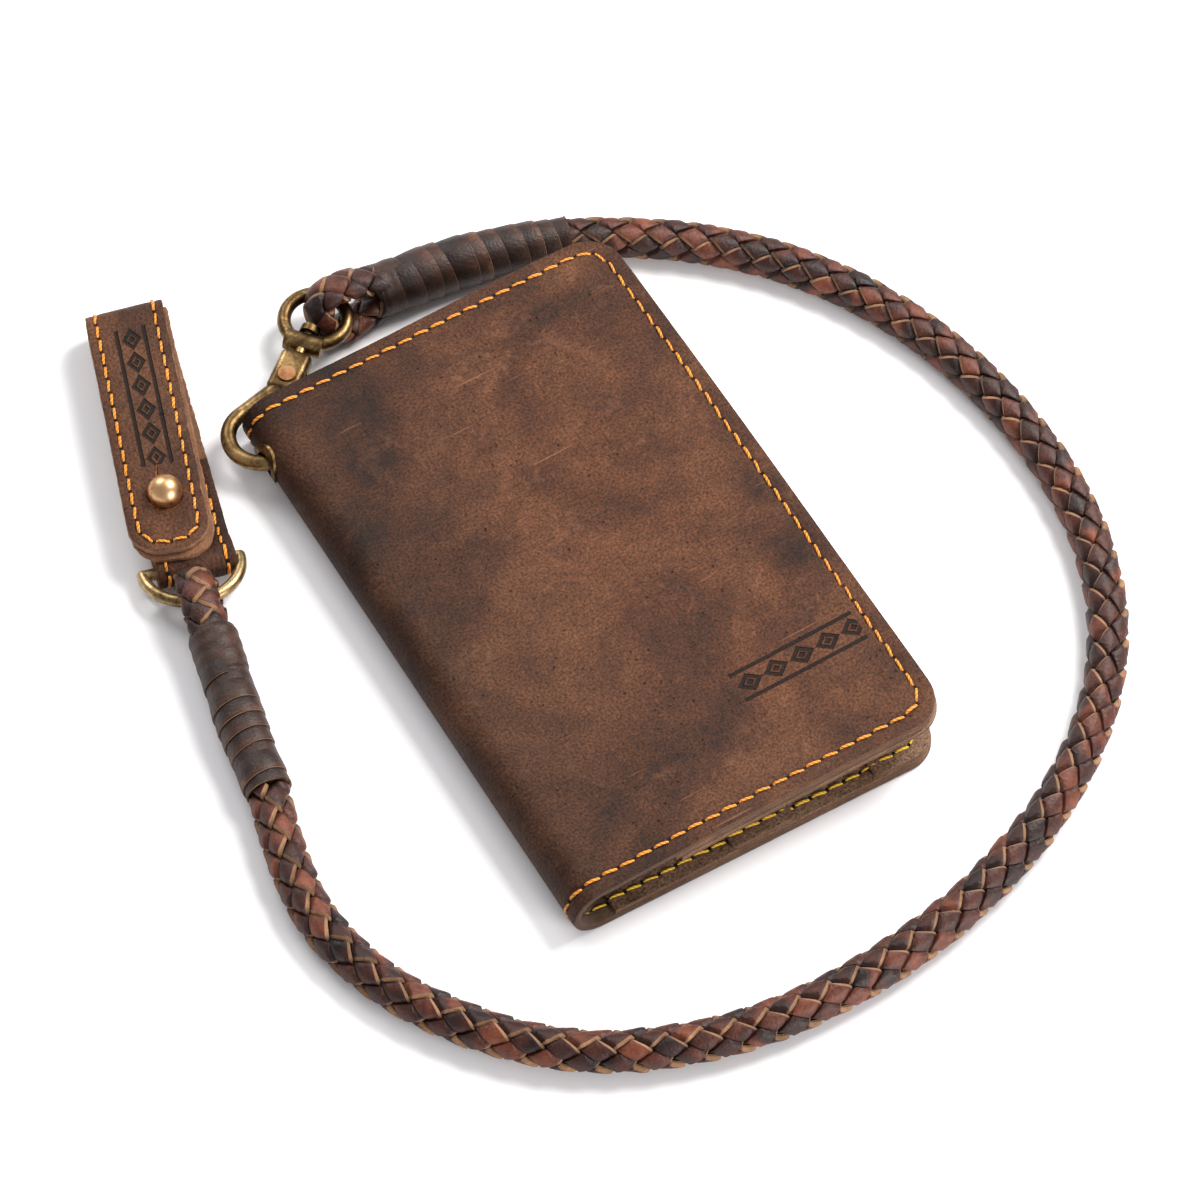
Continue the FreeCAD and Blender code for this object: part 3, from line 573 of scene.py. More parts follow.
def stitches(name, stretches, place, material, thread=0.62):
    """Stitches as separate short strands that dive into their holes.

    stretches is a list of (start, end) in the leaf's own (u, v, h); h is the surface that they lie on.
    """
    rise, gap, slant, sink = 0.26, 0.14, 0.13, 0.42
    rings, sides, hole_sides = 9, 7, 10
    t = np.linspace(0, 1, rings)
    points, faces, uvs, hole_points, hole_faces = [], [], [], [], []
    for start, end in stretches:
        start, end = np.array(start, float), np.array(end, float)
        way = end - start
        length = np.hypot(way[0], way[1])
        if length < 0.5:
            continue
        along = way[:2] / length
        across = np.array([-along[1], along[0]])
        a = start[:2] + along * gap + across * slant * length * 0.5 * (1 + 0.3 * rng.standard_normal())
        b = end[:2] - along * gap - across * slant * length * 0.5 * (1 + 0.3 * rng.standard_normal())
        width = thread / 2 * (1 + 0.07 * rng.standard_normal())
        lift = rise * (1 + 0.15 * rng.standard_normal())
        mid = a + (b - a) * t[:, None]
        shape = np.sin(math.pi * np.clip(t, 0, 1)) ** 0.45
        h = start[2] + (end[2] - start[2]) * t + (-sink + (lift + sink) * shape)
        grow = width * (0.55 + 0.45 * shape)
        way2 = (b - a) / np.hypot(*(b - a))
        side2 = np.array([-way2[1], way2[0]])
        base = len(points)
        for k in range(rings):
            for m in range(sides):
                ang = 2 * math.pi * m / sides
                offset = side2 * math.cos(ang) * grow[k]
                points.append((mid[k][0] + offset[0], mid[k][1] + offset[1], h[k] + 0.8 * math.sin(ang) * grow[k]))
                uvs.append((t[k] * length * MM, ang * width * MM))
        for k in range(rings - 1):
            for m in range(sides):
                n = (m + 1) % sides
                faces.append((base + k * sides + m, base + k * sides + n, base + (k + 1) * sides + n,
                              base + (k + 1) * sides + m))
        for spot, level in ((a - way2 * 0.12, start[2]), (b + way2 * 0.12, end[2])):
            at = len(hole_points)
            hole_points.append((*spot, level - 0.05))
            for m in range(hole_sides):
                ang = 2 * math.pi * m / hole_sides
                p = spot + way2 * 0.36 * math.cos(ang) + side2 * 0.3 * math.sin(ang)
                hole_points.append((p[0], p[1], level + 0.035))
            for m in range(hole_sides):
                hole_faces.append((at, at + 1 + m, at + 1 + (m + 1) % hole_sides))
    count = len(points)
    points = np.array(points + hole_points)
    faces = faces + [tuple(i + count for i in f) for f in hole_faces]
    mats = [0] * (len(faces) - len(hole_faces)) + [1] * len(hole_faces)
    uvs = np.array(uvs + [(0.0, 0.0)] * len(hole_points))
    return make_mesh(name, place(*points.T), faces, [material, hole], mats, uvs)


def seam_points(u0, u1, half, r0, r1, inset, pitch):
    """Evenly spaced holes along the outline of a leaf, inset from its edge, from one end round to the other.

    The row starts and ends in the middle of the end at u0, or at its corners where r0 is None.
    """
    ua, ub, vb = u0 + inset, u1 - inset, half - inset
    ra, rb = max((r0 or 0) - inset, 0.6), max(r1 - inset, 0.6)
    bend = [(math.cos(t), math.sin(t)) for t in np.linspace(0.1, math.pi / 2, 10)]
    if r0 is None:
        line = [(u0, -vb)]
    else:
        line = [(ua, 0.0), (ua, -vb + ra)] + [(ua + ra - ra * c, -vb + ra - ra * s) for c, s in bend]
    line += [(ub - rb, -vb)] + [(ub - rb + rb * s, -vb + rb - rb * c) for c, s in bend]
    line += [(ub, vb - rb)] + [(ub - rb + rb * c, vb - rb + rb * s) for c, s in bend]
    if r0 is None:
        line += [(u0, vb)]
    else:
        line += [(ua + ra, vb)] + [(ua + ra - ra * s, vb - ra + ra * c) for c, s in bend] + [(ua, 0.0)]
    line = np.array(line)
    step = np.hypot(*np.diff(line, axis=0).T)
    total = np.concatenate([[0], np.cumsum(step)])
    at = np.linspace(0, total[-1], int(round(total[-1] / pitch)) + 1)
    return np.stack([np.interp(at, total, line[:, 0]), np.interp(at, total, line[:, 1])], 1)


def straight_holes(a, b, pitch):
    a, b = np.array(a, float), np.array(b, float)
    count = max(1, int(round(np.linalg.norm(b - a) / pitch)))
    return a + (b - a) * np.linspace(0, 1, count + 1)[:, None]


def runs(holes, height):
    """The stitches from hole to hole of a row, on a surface at one height."""
    return [((*a, height), (*b, height)) for a, b in zip(holes, holes[1:])]


# ---------------------------------------------------------------- materials

motif_cover = pressed_row(148.2, 177.5, -43.5, 3.6)
COVER = dict(dark=(0.017, 0.0065, 0.0036), mid=(0.063, 0.0225, 0.0098), light=(0.135, 0.054, 0.024))
cover_leather = waxed_leather("cover_leather", **COVER, motif=motif_cover)
cover_flesh = raw_leather("cover_flesh", (0.13, 0.072, 0.040), (0.34, 0.205, 0.12), 1.5)
cut_edge = raw_leather("cut_edge", (0.036, 0.014, 0.0065), (0.20, 0.082, 0.034), 1.8)
lining_grain = waxed_leather("lining_leather", (0.095, 0.052, 0.031), (0.20, 0.118, 0.073), (0.33, 0.21, 0.13),
                             scuffs=0.5)
suede = raw_leather("suede_side", (0.14, 0.080, 0.046), (0.36, 0.225, 0.14), 1.5)
STRAP = dict(dark=(0.012, 0.0045, 0.0025), mid=(0.052, 0.0190, 0.0080), light=(0.125, 0.050, 0.0215))
strap_leather = waxed_leather("strap_leather", **STRAP, motif=pressed_row(112.0, 148.0, 0.4, 3.3))
strap_edge = raw_leather("strap_cut_edge", (0.10, 0.036, 0.014), (0.38, 0.165, 0.070), 2.2)
strap_flesh = raw_leather("strap_flesh", (0.10, 0.042, 0.020), (0.32, 0.150, 0.072), 2.0)
strands = strand_leather("braid_strands", (0.008, 0.0022, 0.0014), (0.046, 0.0098, 0.0048), (0.165, 0.043, 0.019))
strand_edge = raw_leather("strand_cut_edge", (0.13, 0.060, 0.028), (0.36, 0.195, 0.10))
# a real core inside the braids, coloured near-black as painted shade in the gaps between the strands
core_painted_shade = raw_leather("cord_core", (0.012, 0.006, 0.004), (0.03, 0.014, 0.009))
wrap_leather = strand_leather("whipping_leather", (0.011, 0.0038, 0.0021), (0.042, 0.0155, 0.0080),
                              (0.165, 0.070, 0.035))
wrap_edge = raw_leather("whipping_cut_edge", (0.14, 0.068, 0.034), (0.34, 0.185, 0.095))
brass = aged_metal("antique_brass", (0.028, 0.016, 0.008), (0.13, 0.078, 0.032), (0.50, 0.33, 0.14), 0.22, 0.62)
brass_bright = aged_metal("worn_brass", (0.075, 0.046, 0.02), (0.30, 0.205, 0.095), (0.66, 0.50, 0.27), 0.2, 0.4)
copper = aged_metal("copper_brass", (0.20, 0.085, 0.035), (0.55, 0.31, 0.145), (0.78, 0.50, 0.27), 0.2, 0.35)
rivet_copper = aged_metal("rivet_copper", (0.09, 0.04, 0.018), (0.33, 0.155, 0.068), (0.58, 0.33, 0.17), 0.26, 0.5)
steel = aged_metal("spring_steel", (0.05, 0.048, 0.045), (0.24, 0.23, 0.22), (0.45, 0.44, 0.42), 0.3, 0.4)
orange = thread_material("orange_thread", (0.40, 0.115, 0.008), (0.86, 0.33, 0.025))
yellow = thread_material("yellow_thread", (0.62, 0.33, 0.015), (1.0, 0.66, 0.06))
hole = dark_hole("stitch_hole")

# ---------------------------------------------------------------- wallet

SPINE_X, FREE_X, HALF_Y = -44.5, 44.5, 70.0
FOLD_X, FOLD_Z, FOLD_R = -37.5, 7.0, 7.0
COVER_T, LIFT = 1.8, 3.3
CORNER, PITCH = 8.0, 4.0          # the cover's corner radius and its stitches' spacing, in mm
FLAT = FREE_X - FOLD_X
ARC_R = FOLD_R - COVER_T / 2
ARC = ARC_R * math.radians(180 - LIFT)
cover_line = Ribbon((FREE_X, COVER_T / 2), 180, [(FLAT,), (ARC_R, -(180 - LIFT)), (FLAT,)])
COVER_L = cover_line.length
BAND_START = FLAT + ARC_R * math.radians(270 - 140)
FOLD_LINE = FLAT + ARC


def cover_place(u, v, h):
    """The cover as one long leaf: back free edge at u 0, round the spine, front free edge at COVER_L."""
    x, z, a = cover_line.at(u)
    front = np.clip((u - FOLD_LINE) / 30.0, 0, 1)
    wave = front * (0.34 * np.sin(v / 19.0 + 0.8) * ((u - FOLD_LINE) / FLAT) ** 2
                    + 0.22 * np.sin(u / 13.0 + v / 40.0))
    near = np.clip((np.abs(v) - 50) / 20, 0, 1) ** 2 * np.clip((u - (COVER_L - 26)) / 26, 0, 1) ** 2
    lift = wave - 0.9 * near * front
    out = h + lift
    return np.stack([x - np.sin(a) * out, v, z + np.cos(a) * out], 1)


def cover_shade_and_wear(u, v):
    """Darker towards the spine, where the fold turns away from the light: painted shade. Darker on the back half too;
    burnished at the edges.
    """
    from_fold = np.clip((u - FOLD_LINE) / FLAT, 0, 1)
    # painted shade: the brightness falls towards the spine fold on both halves
    bright = 0.29 + 0.21 * np.clip(from_fold / 0.42, 0, 1) ** 0.8
    bright = np.where(u < FOLD_LINE, 0.29 + 0.15 * np.clip((FLAT - u) / 30, 0, 1), bright)
    edge = outline_inset(u, v, 0, COVER_L, HALF_Y, CORNER, CORNER)
    bright = bright - 0.05 * np.exp(-(edge / 2.0) ** 2) - 0.03 * np.exp(-((edge - SEAM) / 1.0) ** 2)
    warm = 0.30 * np.exp(-(((v - 8) / 42) ** 2)) * np.exp(-(((u - FOLD_LINE - 48) / 26) ** 2))
    warm = warm + 0.25 * np.exp(-(((v + 40) / 20) ** 2)) * np.exp(-(((u - FOLD_LINE - 58) / 16) ** 2))
    return np.stack([bright, warm], 1)


cover_mats = [cover_leather, cover_flesh, cut_edge]
cover_args = dict(rough=0.02, half=HALF_Y, thick=COVER_T, materials=cover_mats, groove=0.2, tone=cover_shade_and_wear,
                  extent=(0.0, COVER_L))
cover_back = leaf("leather_cover_back", cover_place, 0.0, BAND_START, r0=CORNER, r1=None, step=1.6, **cover_args)
cover_band = leaf("leather_cover_fold", cover_place, BAND_START, FOLD_LINE, r0=None, r1=None, step=0.6, **cover_args)
cover_front = leaf("leather_cover_front", cover_place, FOLD_LINE, COVER_L, r0=None, r1=CORNER, step=1.6, **cover_args)

HOOK_X, HOOK_Y, HOOK_Z = SPINE_X + 2.6, HALF_Y - 4.3, 6.8
EYELET_Y = HOOK_Y - math.sqrt(7.1 ** 2 - (2.6 - COVER_T / 2) ** 2)
cut_away(cover_back, rod("eyelet_cutter", (SPINE_X - 4, EYELET_Y, HOOK_Z), (FOLD_X, EYELET_Y, HOOK_Z), 3.4, cut_edge))

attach(cover_back, "wallet_back")
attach(cover_front, "front_cover")
band_a = cover_line.at(BAND_START)
band_b = cover_line.at(FOLD_LINE)
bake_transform(cover_band)
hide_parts("cover_back", "cover_spine")
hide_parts("cover_front")

# stitches all round the cover's outside, at four millimetres
loop = seam_points(0, COVER_L, HALF_Y, CORNER, CORNER, SEAM, PITCH)
top_of_groove = COVER_T / 2 - 0.14
pairs = runs(loop, top_of_groove)
for label, low, high in (("back", 0.0, BAND_START), ("fold", BAND_START, FOLD_LINE), ("front", FOLD_LINE, COVER_L + 1)):
    group = [(a, b) for a, b in pairs if low <= (a[0] + b[0]) / 2 < high]
    seam = stitches(f"stitches_cover_{label}", group, cover_place, orange)
    if label == "fold":
        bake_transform(seam)
    else:
        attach(seam, "wallet_back" if label == "back" else "front_cover")


def flat_tone(u, v):
    return np.stack([np.full_like(u, 0.5), np.zeros_like(u)], 1)


def back_place(level):
    """Leaves of the back half: u is X, v is Y, h over the leaf's middle."""

    def place(u, v, h):
        return np.stack([u, v, level + h + 0.0 * u], 1)

    return place


def front_place(depth):
    """Leaves of the front half, in the same long coordinate as the cover, depth under the cover's middle."""

    def place(u, v, h):
        return cover_place(u, v, h - depth)

    return place


inner_mats = [lining_grain, suede, cut_edge]
for name, start, end, level, thick, r0, r1 in (
        ("lining_of_back", SPINE_X + 10, FREE_X - 0.3, 1.8, 1.1, 0.0, 7.7),
        ("card_strip_leaf", SPINE_X + 38, SPINE_X + 53, 2.9, 1.1, 1.2, 1.2),
        ("edge_pocket_leaf", SPINE_X + 72, FREE_X - 0.45, 2.9, 1.1, 1.2, 7.5)):
    half = HALF_Y - (0.25 if level < 2 else 0.45)
    piece = leaf(name, back_place(level + thick / 2), start, end, half, r0, r1, thick - 0.04, inner_mats,
                 step=2.2, groove=0.12, tone=flat_tone, rim=0.22)
    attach(piece, "wallet_back")
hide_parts("back_lining")
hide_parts("card_strip")
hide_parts("edge_pocket")

lining_u = FOLD_LINE + (24.0 - 7.0)
for name, depth, thick, node in (("lining_of_front", 0.9 + 0.55, 1.1, "front_lining"),
                                 ("slip_pocket_leaf", 0.9 + 1.1 + 0.55, 1.1, "front_slip_pocket")):
    start, end, half = (0.0, 0.05, 0.05) if depth < 2 else (1.2, 0.4, 0.45)
    piece = leaf(name, front_place(depth), lining_u + start, COVER_L + end, HALF_Y + half, 0.0, 8.3, thick - 0.04,
                 [suede, lining_grain, cut_edge], step=2.2, groove=0.12, tone=flat_tone, rim=0.22)
    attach(piece, "front_cover")
    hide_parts(node)


def inner_level(x):
    """Height of the back half's inner surface along X, with short ramps at the steps."""
    x = np.asarray(x, float)
    level = np.where(x < SPINE_X + 10, COVER_T, COVER_T + 1.1)
    for a, b in ((SPINE_X + 38, SPINE_X + 53), (SPINE_X + 72, FREE_X + 1)):
        level = level + 1.1 * np.clip((x - a) / 0.5 + 0.5, 0, 1) * np.clip((b - x) / 0.5 + 0.5, 0, 1)
    return level


def inner_seam(points, name):
    stretch = [((*a, float(inner_level(a[0] + 0.4)) - 0.06), (*b, float(inner_level(b[0] - 0.4)) - 0.06))
               for a, b in zip(points, points[1:])]
    seam = stitches(name, stretch, back_place(0.0), yellow)
    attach(seam, "wallet_back")


inner_seam(seam_points(SPINE_X + 2, FREE_X, HALF_Y, None, CORNER, SEAM, PITCH), "stitches_inner_rim")
for x in (SPINE_X + 40.5, SPINE_X + 74.5):
    inner_seam(straight_holes((x, -HALF_Y + 7), (x, HALF_Y - 7), PITCH), f"stitches_strip_{int(x + 100)}")
under = seam_points(FOLD_LINE + 2, COVER_L, HALF_Y, None, CORNER, SEAM, PITCH)


def under_height(u):
    return -(COVER_T / 2 + (2.2 if u > lining_u + 1 else 0.0)) + 0.1


seam = stitches("stitches_front_inside",
                [((*a, under_height(a[0])), (*b, under_height(b[0]))) for a, b in zip(under, under[1:])],
                lambda u, v, h: cover_place(u, v, 2 * np.where(u > lining_u + 1, -3.1 + 0.1, -0.9 + 0.1) - h),
                yellow)
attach(seam, "front_cover")

# ---------------------------------------------------------------- belt strap

STRAP_AT, STRAP_TURN = Vector((-69.6, 45.9, 0)), math.radians(-15)
STRAP_T, BAR_Z, BEND = 1.8, 3.45, 2.55
FOLD_TOP = 69.7 - BAR_Z - 10.3 / 2
step_turn = math.radians(30)
TAB_Z = 2.8
drop_arcs = 8.0 * (1 - math.cos(step_turn))
step_run = ((BAR_Z + BEND) - TAB_Z - drop_arcs) / math.sin(step_turn)
reach = 8.0 * math.sin(step_turn) + step_run * math.cos(step_turn)
strap_line = Ribbon((26.0, TAB_Z), 180, [
    (26.0 - reach,), (4.0, -30), (step_run,), (4.0, 30), (BEND, 180), (FOLD_TOP,), (4.25, 180), (FOLD_TOP - 0.8,)])
STRAP_L = strap_line.length
FLAP_START = STRAP_L - (FOLD_TOP - 0.8)
BACK_END = FLAP_START - 4.25 * math.pi
SKEW = math.radians(-3.15)
STRAP_HALF = 8.5
STRAP_SEAM, STRAP_PITCH, TIP_R = 2.1, 3.7, 7.0
cos_t, sin_t = math.cos(STRAP_TURN), math.sin(STRAP_TURN)


def strap_world(w, s, z):
    """Strap's own width, length and height to the row frame."""
    return np.stack([STRAP_AT.x + cos_t * w - sin_t * s, STRAP_AT.y + sin_t * w + cos_t * s, z], 1)


def strap_point(w, s, z=0.0):
    return strap_world(np.array([w]), np.array([s]), np.array([z]))[0]


def strap_place(line, fold_from, fold_to, push=0.0, back_push=0.0):
    """Leather along a line of the strap, turned askew and pushed aside between its back and its flap."""

    def place(u, v, h):
        s, z, a = line.at(u)
        s = s + np.sin(a) * h
        z = z - np.cos(a) * h
        skew = SKEW * np.clip((u - fold_from) / (fold_to - fold_from), 0, 1)
        w = v * np.cos(skew) - (s - FOLD_TOP) * np.sin(skew)
        s = FOLD_TOP + v * np.sin(skew) + (s - FOLD_TOP) * np.cos(skew)
        near_fold = np.exp(-(((u - (fold_from + fold_to) / 2) / 26.0) ** 2))
        s = s + 0.085 * v * near_fold
        w = w + push + back_push * (1 - np.clip((u - fold_from) / (fold_to - fold_from), 0, 1))
        flap = np.clip((u - fold_to) / 10, 0, 1)
        z = z + flap * (0.25 * np.sin(u / 9.0) - 0.3 * np.exp(-((line.length - u) / 7.0) ** 2)
                        - 0.35 * (np.abs(v) / STRAP_HALF) ** 4)
        return strap_world(w, s, z)

    return place


def strap_tone(u, v):
    edge = STRAP_HALF - np.abs(v)
    bright = 0.5 - 0.07 * np.exp(-(edge / 1.2) ** 2)
    bend = np.exp(-((u - (FLAP_START - 6)) / 6.0) ** 2)
    wear = 0.3 * bend + 0.25 * np.exp(-((u - (STRAP_L - 12)) / 12.0) ** 2)
    return np.stack([bright, wear], 1)


on_strap = strap_place(strap_line, BACK_END, FLAP_START, back_push=0.95)
strap_args = dict(half=STRAP_HALF, thick=STRAP_T, materials=[strap_leather, strap_flesh, strap_edge], groove=0.2,
                  seam=STRAP_SEAM, tone=strap_tone, extent=(-100.0, STRAP_L), rim=0.3, rough=0.1)
strap_back = leaf("strap_leather_back", on_strap, 0.0, BACK_END, r0=0.0, r1=None, step=0.9, **strap_args)
strap_fold = leaf("strap_leather_fold", on_strap, BACK_END, FLAP_START, r0=None, r1=None, step=0.6, **strap_args)
strap_flap = leaf("strap_leather_flap", on_strap, FLAP_START, STRAP_L, r0=None, r1=TIP_R, step=0.9, **strap_args)

# the lining ply under the flap, on round the inside of the fold and a little way down the back
LINE_T = 1.3
lining_line = Ribbon((FOLD_TOP - 38.0, STRAP_T + LINE_T / 2), 0,
                     [(38.0,), (4.25 - (STRAP_T + LINE_T) / 2, 180), (FOLD_TOP + 0.3,)])
LIN_FLAP = lining_line.length - (FOLD_TOP + 0.3)
on_lining = strap_place(lining_line, 38.0, LIN_FLAP, push=0.75)
lining_args = dict(half=STRAP_HALF + 0.2, thick=LINE_T, materials=[strap_flesh, strap_flesh, strap_edge], groove=0.0,
                   tone=strap_tone, rim=0.3, rough=0.2)
lining_back = leaf("strap_lining_back", on_lining, 0.0, 38.0, r0=0.0, r1=None, step=0.9, **lining_args)
lining_fold = leaf("strap_lining_fold", on_lining, 38.0, LIN_FLAP, r0=None, r1=None, step=0.5, **lining_args)
lining_flap = leaf("strap_lining_flap", on_lining, LIN_FLAP, lining_line.length, r0=None, r1=TIP_R, step=0.9,
                   **lining_args)

STUD_W, STUD_S = -1.9, 14.8
stud_xyz = strap_point(STUD_W, STUD_S)


def stud_cutters(tag):
    hole_rod = rod(f"stud_rod_{tag}", (*stud_xyz[:2], 6.5), (*stud_xyz[:2], 12.0), 3.85, strap_edge)
    line = [(STUD_W + 0.16, STUD_S + 3.4), (STUD_W - 0.25, STUD_S + 5.6), (STUD_W + 0.15, STUD_S + 7.4),
            (STUD_W - 0.3, STUD_S + 9.4), (STUD_W - 0.05, STUD_S + 7.3), (STUD_W - 0.5, STUD_S + 5.5),
            (STUD_W - 0.22, STUD_S + 3.4)]
    flat = [tuple(strap_point(w, s)[:2]) for w, s in line]
    return hole_rod, slab(f"stud_slit_{tag}", flat, 6.5, 12.0, strap_edge)


cut_away(strap_flap, *stud_cutters("a"))
cut_away(lining_flap, *stud_cutters("b"))

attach(strap_back, "belt_strap")
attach(lining_back, "belt_strap")
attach(strap_flap, "belt_flap")
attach(lining_flap, "belt_flap")
for piece in (strap_fold, lining_fold):
    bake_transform(piece)
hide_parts("strap_back")
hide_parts("strap_top_fold")
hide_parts("flap_outer")
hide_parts("flap_lining")

side_v = STRAP_HALF - STRAP_SEAM
tip = seam_points(FLAP_START, STRAP_L, STRAP_HALF, None, TIP_R, STRAP_SEAM, STRAP_PITCH)
h_strap = STRAP_T / 2 - 0.14
flap_runs = [(a, b) for a, b in runs(tip, h_strap) if max(abs(a[0] - FLAP_START), abs(b[0] - FLAP_START)) >= 0.01]
flap_seam = stitches("stitches_flap", flap_runs, on_strap, orange, thread=0.66)
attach(flap_seam, "belt_flap")
for side, label in ((-1, "left"), (1, "right")):
    for part, start, end, pitch in (("strap", 2.5, BACK_END, STRAP_PITCH), ("fold", BACK_END, FLAP_START, 3.4)):
        spots = straight_holes((start, side * side_v), (end, side * side_v), pitch)
        seam = stitches(f"stitches_{part}_{label}", runs(spots, h_strap), on_strap, orange, thread=0.66)
        if part == "strap":
            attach(seam, "belt_strap")
        else:
            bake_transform(seam)

# ---------------------------------------------------------------- cord

route = [
    (41, 80.2), (57, 72.5), (80, 52), (95.5, 24), (102, -9), (99.5, -41), (86.5, -69),
    (62.5, -90.5), (33, -103.5), (1, -109.2), (-31, -107), (-60, -94.5), (-80, -71),
    (-88.2, -49), (-87.6, -29), (-82.1, -10.8),
]
CORD_D, CORD_Z = 8.8, 4.5


def spline_points(name, points):
    """Points read off a smooth NURBS line through the route, in mm."""
    curve = bpy.data.curves.new(name, "CURVE")
    curve.dimensions = "3D"
    curve.resolution_u = 24
    spline = curve.splines.new("NURBS")
    spline.points.add(len(points) - 1)
    for point, (x, y, z) in zip(spline.points, points):
        point.co = (x * MM, y * MM, z * MM, 1)
    spline.order_u = 3
    spline.use_endpoint_u = True
    obj = bpy.data.objects.new(name, curve)
    bpy.context.scene.collection.objects.link(obj)
    bpy.context.view_layer.update()
    mesh = bpy.data.meshes.new_from_object(obj)
    result = np.array([v.co for v in mesh.vertices]) / MM
    bpy.data.objects.remove(obj)
    return result


class Path:
    """A line in space with a frame that doesn't twist, read at any distance along it."""

    def __init__(self, points, up=(0, 0, 1), step=0.5):
        points = np.asarray(points, float)
        length = np.concatenate([[0], np.cumsum(np.linalg.norm(np.diff(points, axis=0), axis=1))])
        self.length = length[-1]
        self.at = np.linspace(0, self.length, max(3, int(self.length / step)))
        self.points = np.stack([np.interp(self.at, length, points[:, k]) for k in range(3)], 1)
        tangent = np.gradient(self.points, self.at, axis=0)
        self.tangent = tangent / np.linalg.norm(tangent, axis=1)[:, None]
        normal = np.array(up, float)
        normals = []
        for t in self.tangent:
            normal = normal - t * np.dot(normal, t)
            normal = normal / np.linalg.norm(normal)
            normals.append(normal)
        self.normal = np.array(normals)
        self.side = np.cross(self.tangent, self.normal)

    def read(self, l):
        l = np.asarray(l, float)
        clipped = np.clip(l, 0, self.length)

        def pick(table):
            return np.stack([np.interp(clipped, self.at, table[:, k]) for k in range(3)], -1)

        tangent = pick(self.tangent)
        place = pick(self.points) + tangent * (l - clipped)[..., None]
        return place, tangent, pick(self.normal), pick(self.side)


def braid(name, path, radius, pitch, width, thick, count=4, lift=0.56, tilt=0.3, squash=(1.0, 1.0),
          step=0.5, bevel=0.62, turned=None):
    """A round braid: count strands each way, over one and under one, drawn up tight along a path.

    Each strand is high where it crosses over and dives at the other strand's edge. Its edge nearer the
    path's start is raised, so that the pale cut bevel shows there.
    """
    sway = 0.07
    mean = radius - lift - 0.3 * thick
    lean = math.atan(2 * math.pi * mean / pitch)
    top = 0.5 - bevel / width
    section = [(-0.5, -0.15), (-0.49, 0.18), (-0.455, 0.37), (-0.38, 0.45), (-0.2, 0.49), (0.0, 0.5), (0.18, 0.5),
               (top - 0.06, 0.49), (top, 0.45), (top + 0.35 * (0.5 - top), 0.26), (0.5, -0.12), (0.5, -0.5),
               (0.2, -0.5), (-0.2, -0.5), (-0.5, -0.5)]
    first_edge = 8
    sv = np.array([p[0] for p in section]) * width
    sh = np.array([p[1] for p in section]) * thick
    base_r = radius - lift - 0.5 * thick - tilt * 0.6
    ls = np.arange(0.0, path.length + step, step)
    points, faces, mats, uvs, tones = [], [], [], [], []
    m = len(section)
    for way in (1, -1):
        for i in range(count):
            beat = 2 * math.pi * count / pitch
            theta = way * 2 * math.pi * ls / pitch - sway * np.sin(beat * ls) + 2 * math.pi * i / count
            draw = np.random.default_rng(11 + 5 * i + way)
            cells = int(path.length / pitch * count) + 10
            shade, thin, push = draw.random(cells), draw.normal(0, 1, cells), draw.normal(0, 1, cells)
            which = ls * count / pitch + i * 0.5
            k0 = np.clip(np.floor(which).astype(int) + 4, 0, cells - 2)
            blend = np.clip((which - np.floor(which) - 0.4) / 0.2, 0, 1)
            pick = lambda t: t[k0] + (t[k0 + 1] - t[k0]) * blend
            narrow = 1 + 0.035 * pick(thin)
            v = sv[None, :] * narrow[:, None]
            l = ls[:, None] - v * math.sin(lean)
            angle = theta[:, None] + way * v * math.cos(lean) / mean
            other = angle + way * 2 * math.pi * l / pitch + sway * np.sin(beat * l) - 0.08
            cell = way * (-1) ** i * np.cos(count * other / 2)
            height = np.tanh(4.0 * (cell + 0.1)) / math.tanh(4.0)
            r = base_r + lift * height + sh[None, :] + tilt * v / (width / 2) * (0.72 + 0.28 * height)
            r = r + 0.07 * pick(push)[:, None] - 0.05 * (np.abs(v) / (width / 2)) ** 3
            place, tangent, normal, side = path.read(l)
            if turned is not None:
                angle = angle + np.interp(l, *turned)
            offset = r[..., None] * (np.cos(angle)[..., None] * normal * squash[0]
                                     + np.sin(angle)[..., None] * side * squash[1])
            base = sum(len(p) for p in points)
            spots = (place + offset).reshape(-1, 3)
            z = spots[:, 2]
            spots[:, 2] = np.where(z < 1.0, 0.1 + 0.9 * np.exp((np.minimum(z, 1.0) - 1.0) / 0.9), z)
            points.append(spots)
            uv = np.stack([(ls[:, None] + 0 * v) * MM * 1.2, (v + 0 * ls[:, None] + 9 * i) * MM], -1)
            uvs.append(uv.reshape(-1, 2))
            bright = (0.36 + 0.22 * pick(shade))[:, None]
            # painted shade: darker where the strand dives under the crossing strands, and along its edge tucked under
            # the next one; the random part is the strands' own tone
            bright = bright * (1 - 0.5 * np.clip(0.35 - cell, 0, 1)) * (1 - 0.35 * np.exp(-((cell - 0.1) / 0.25) ** 2))
            bright = bright * (1 - 0.22 * np.exp(-((width / 2 + v) / 0.55) ** 2))
            tone = np.stack([bright, pick(shade)[:, None] + 0 * v], -1)
            tones.append(tone.reshape(-1, 2))
            n = len(ls)
            k, j = np.meshgrid(np.arange(n - 1), np.arange(m), indexing="ij")
            a = base + k * m + j
            b = base + k * m + (j + 1) % m
            quad = np.stack([a, b, b + m, a + m], -1).reshape(-1, 4)
            if way < 0:
                quad = quad[:, ::-1]
            faces.append(quad)
            mats.append(np.where(j.ravel() < first_edge, 0, 1))
    return make_mesh(name, np.concatenate(points), np.concatenate(faces), [strands, strand_edge],
                     np.concatenate(mats), np.concatenate(uvs), np.concatenate(tones), sharp=35)


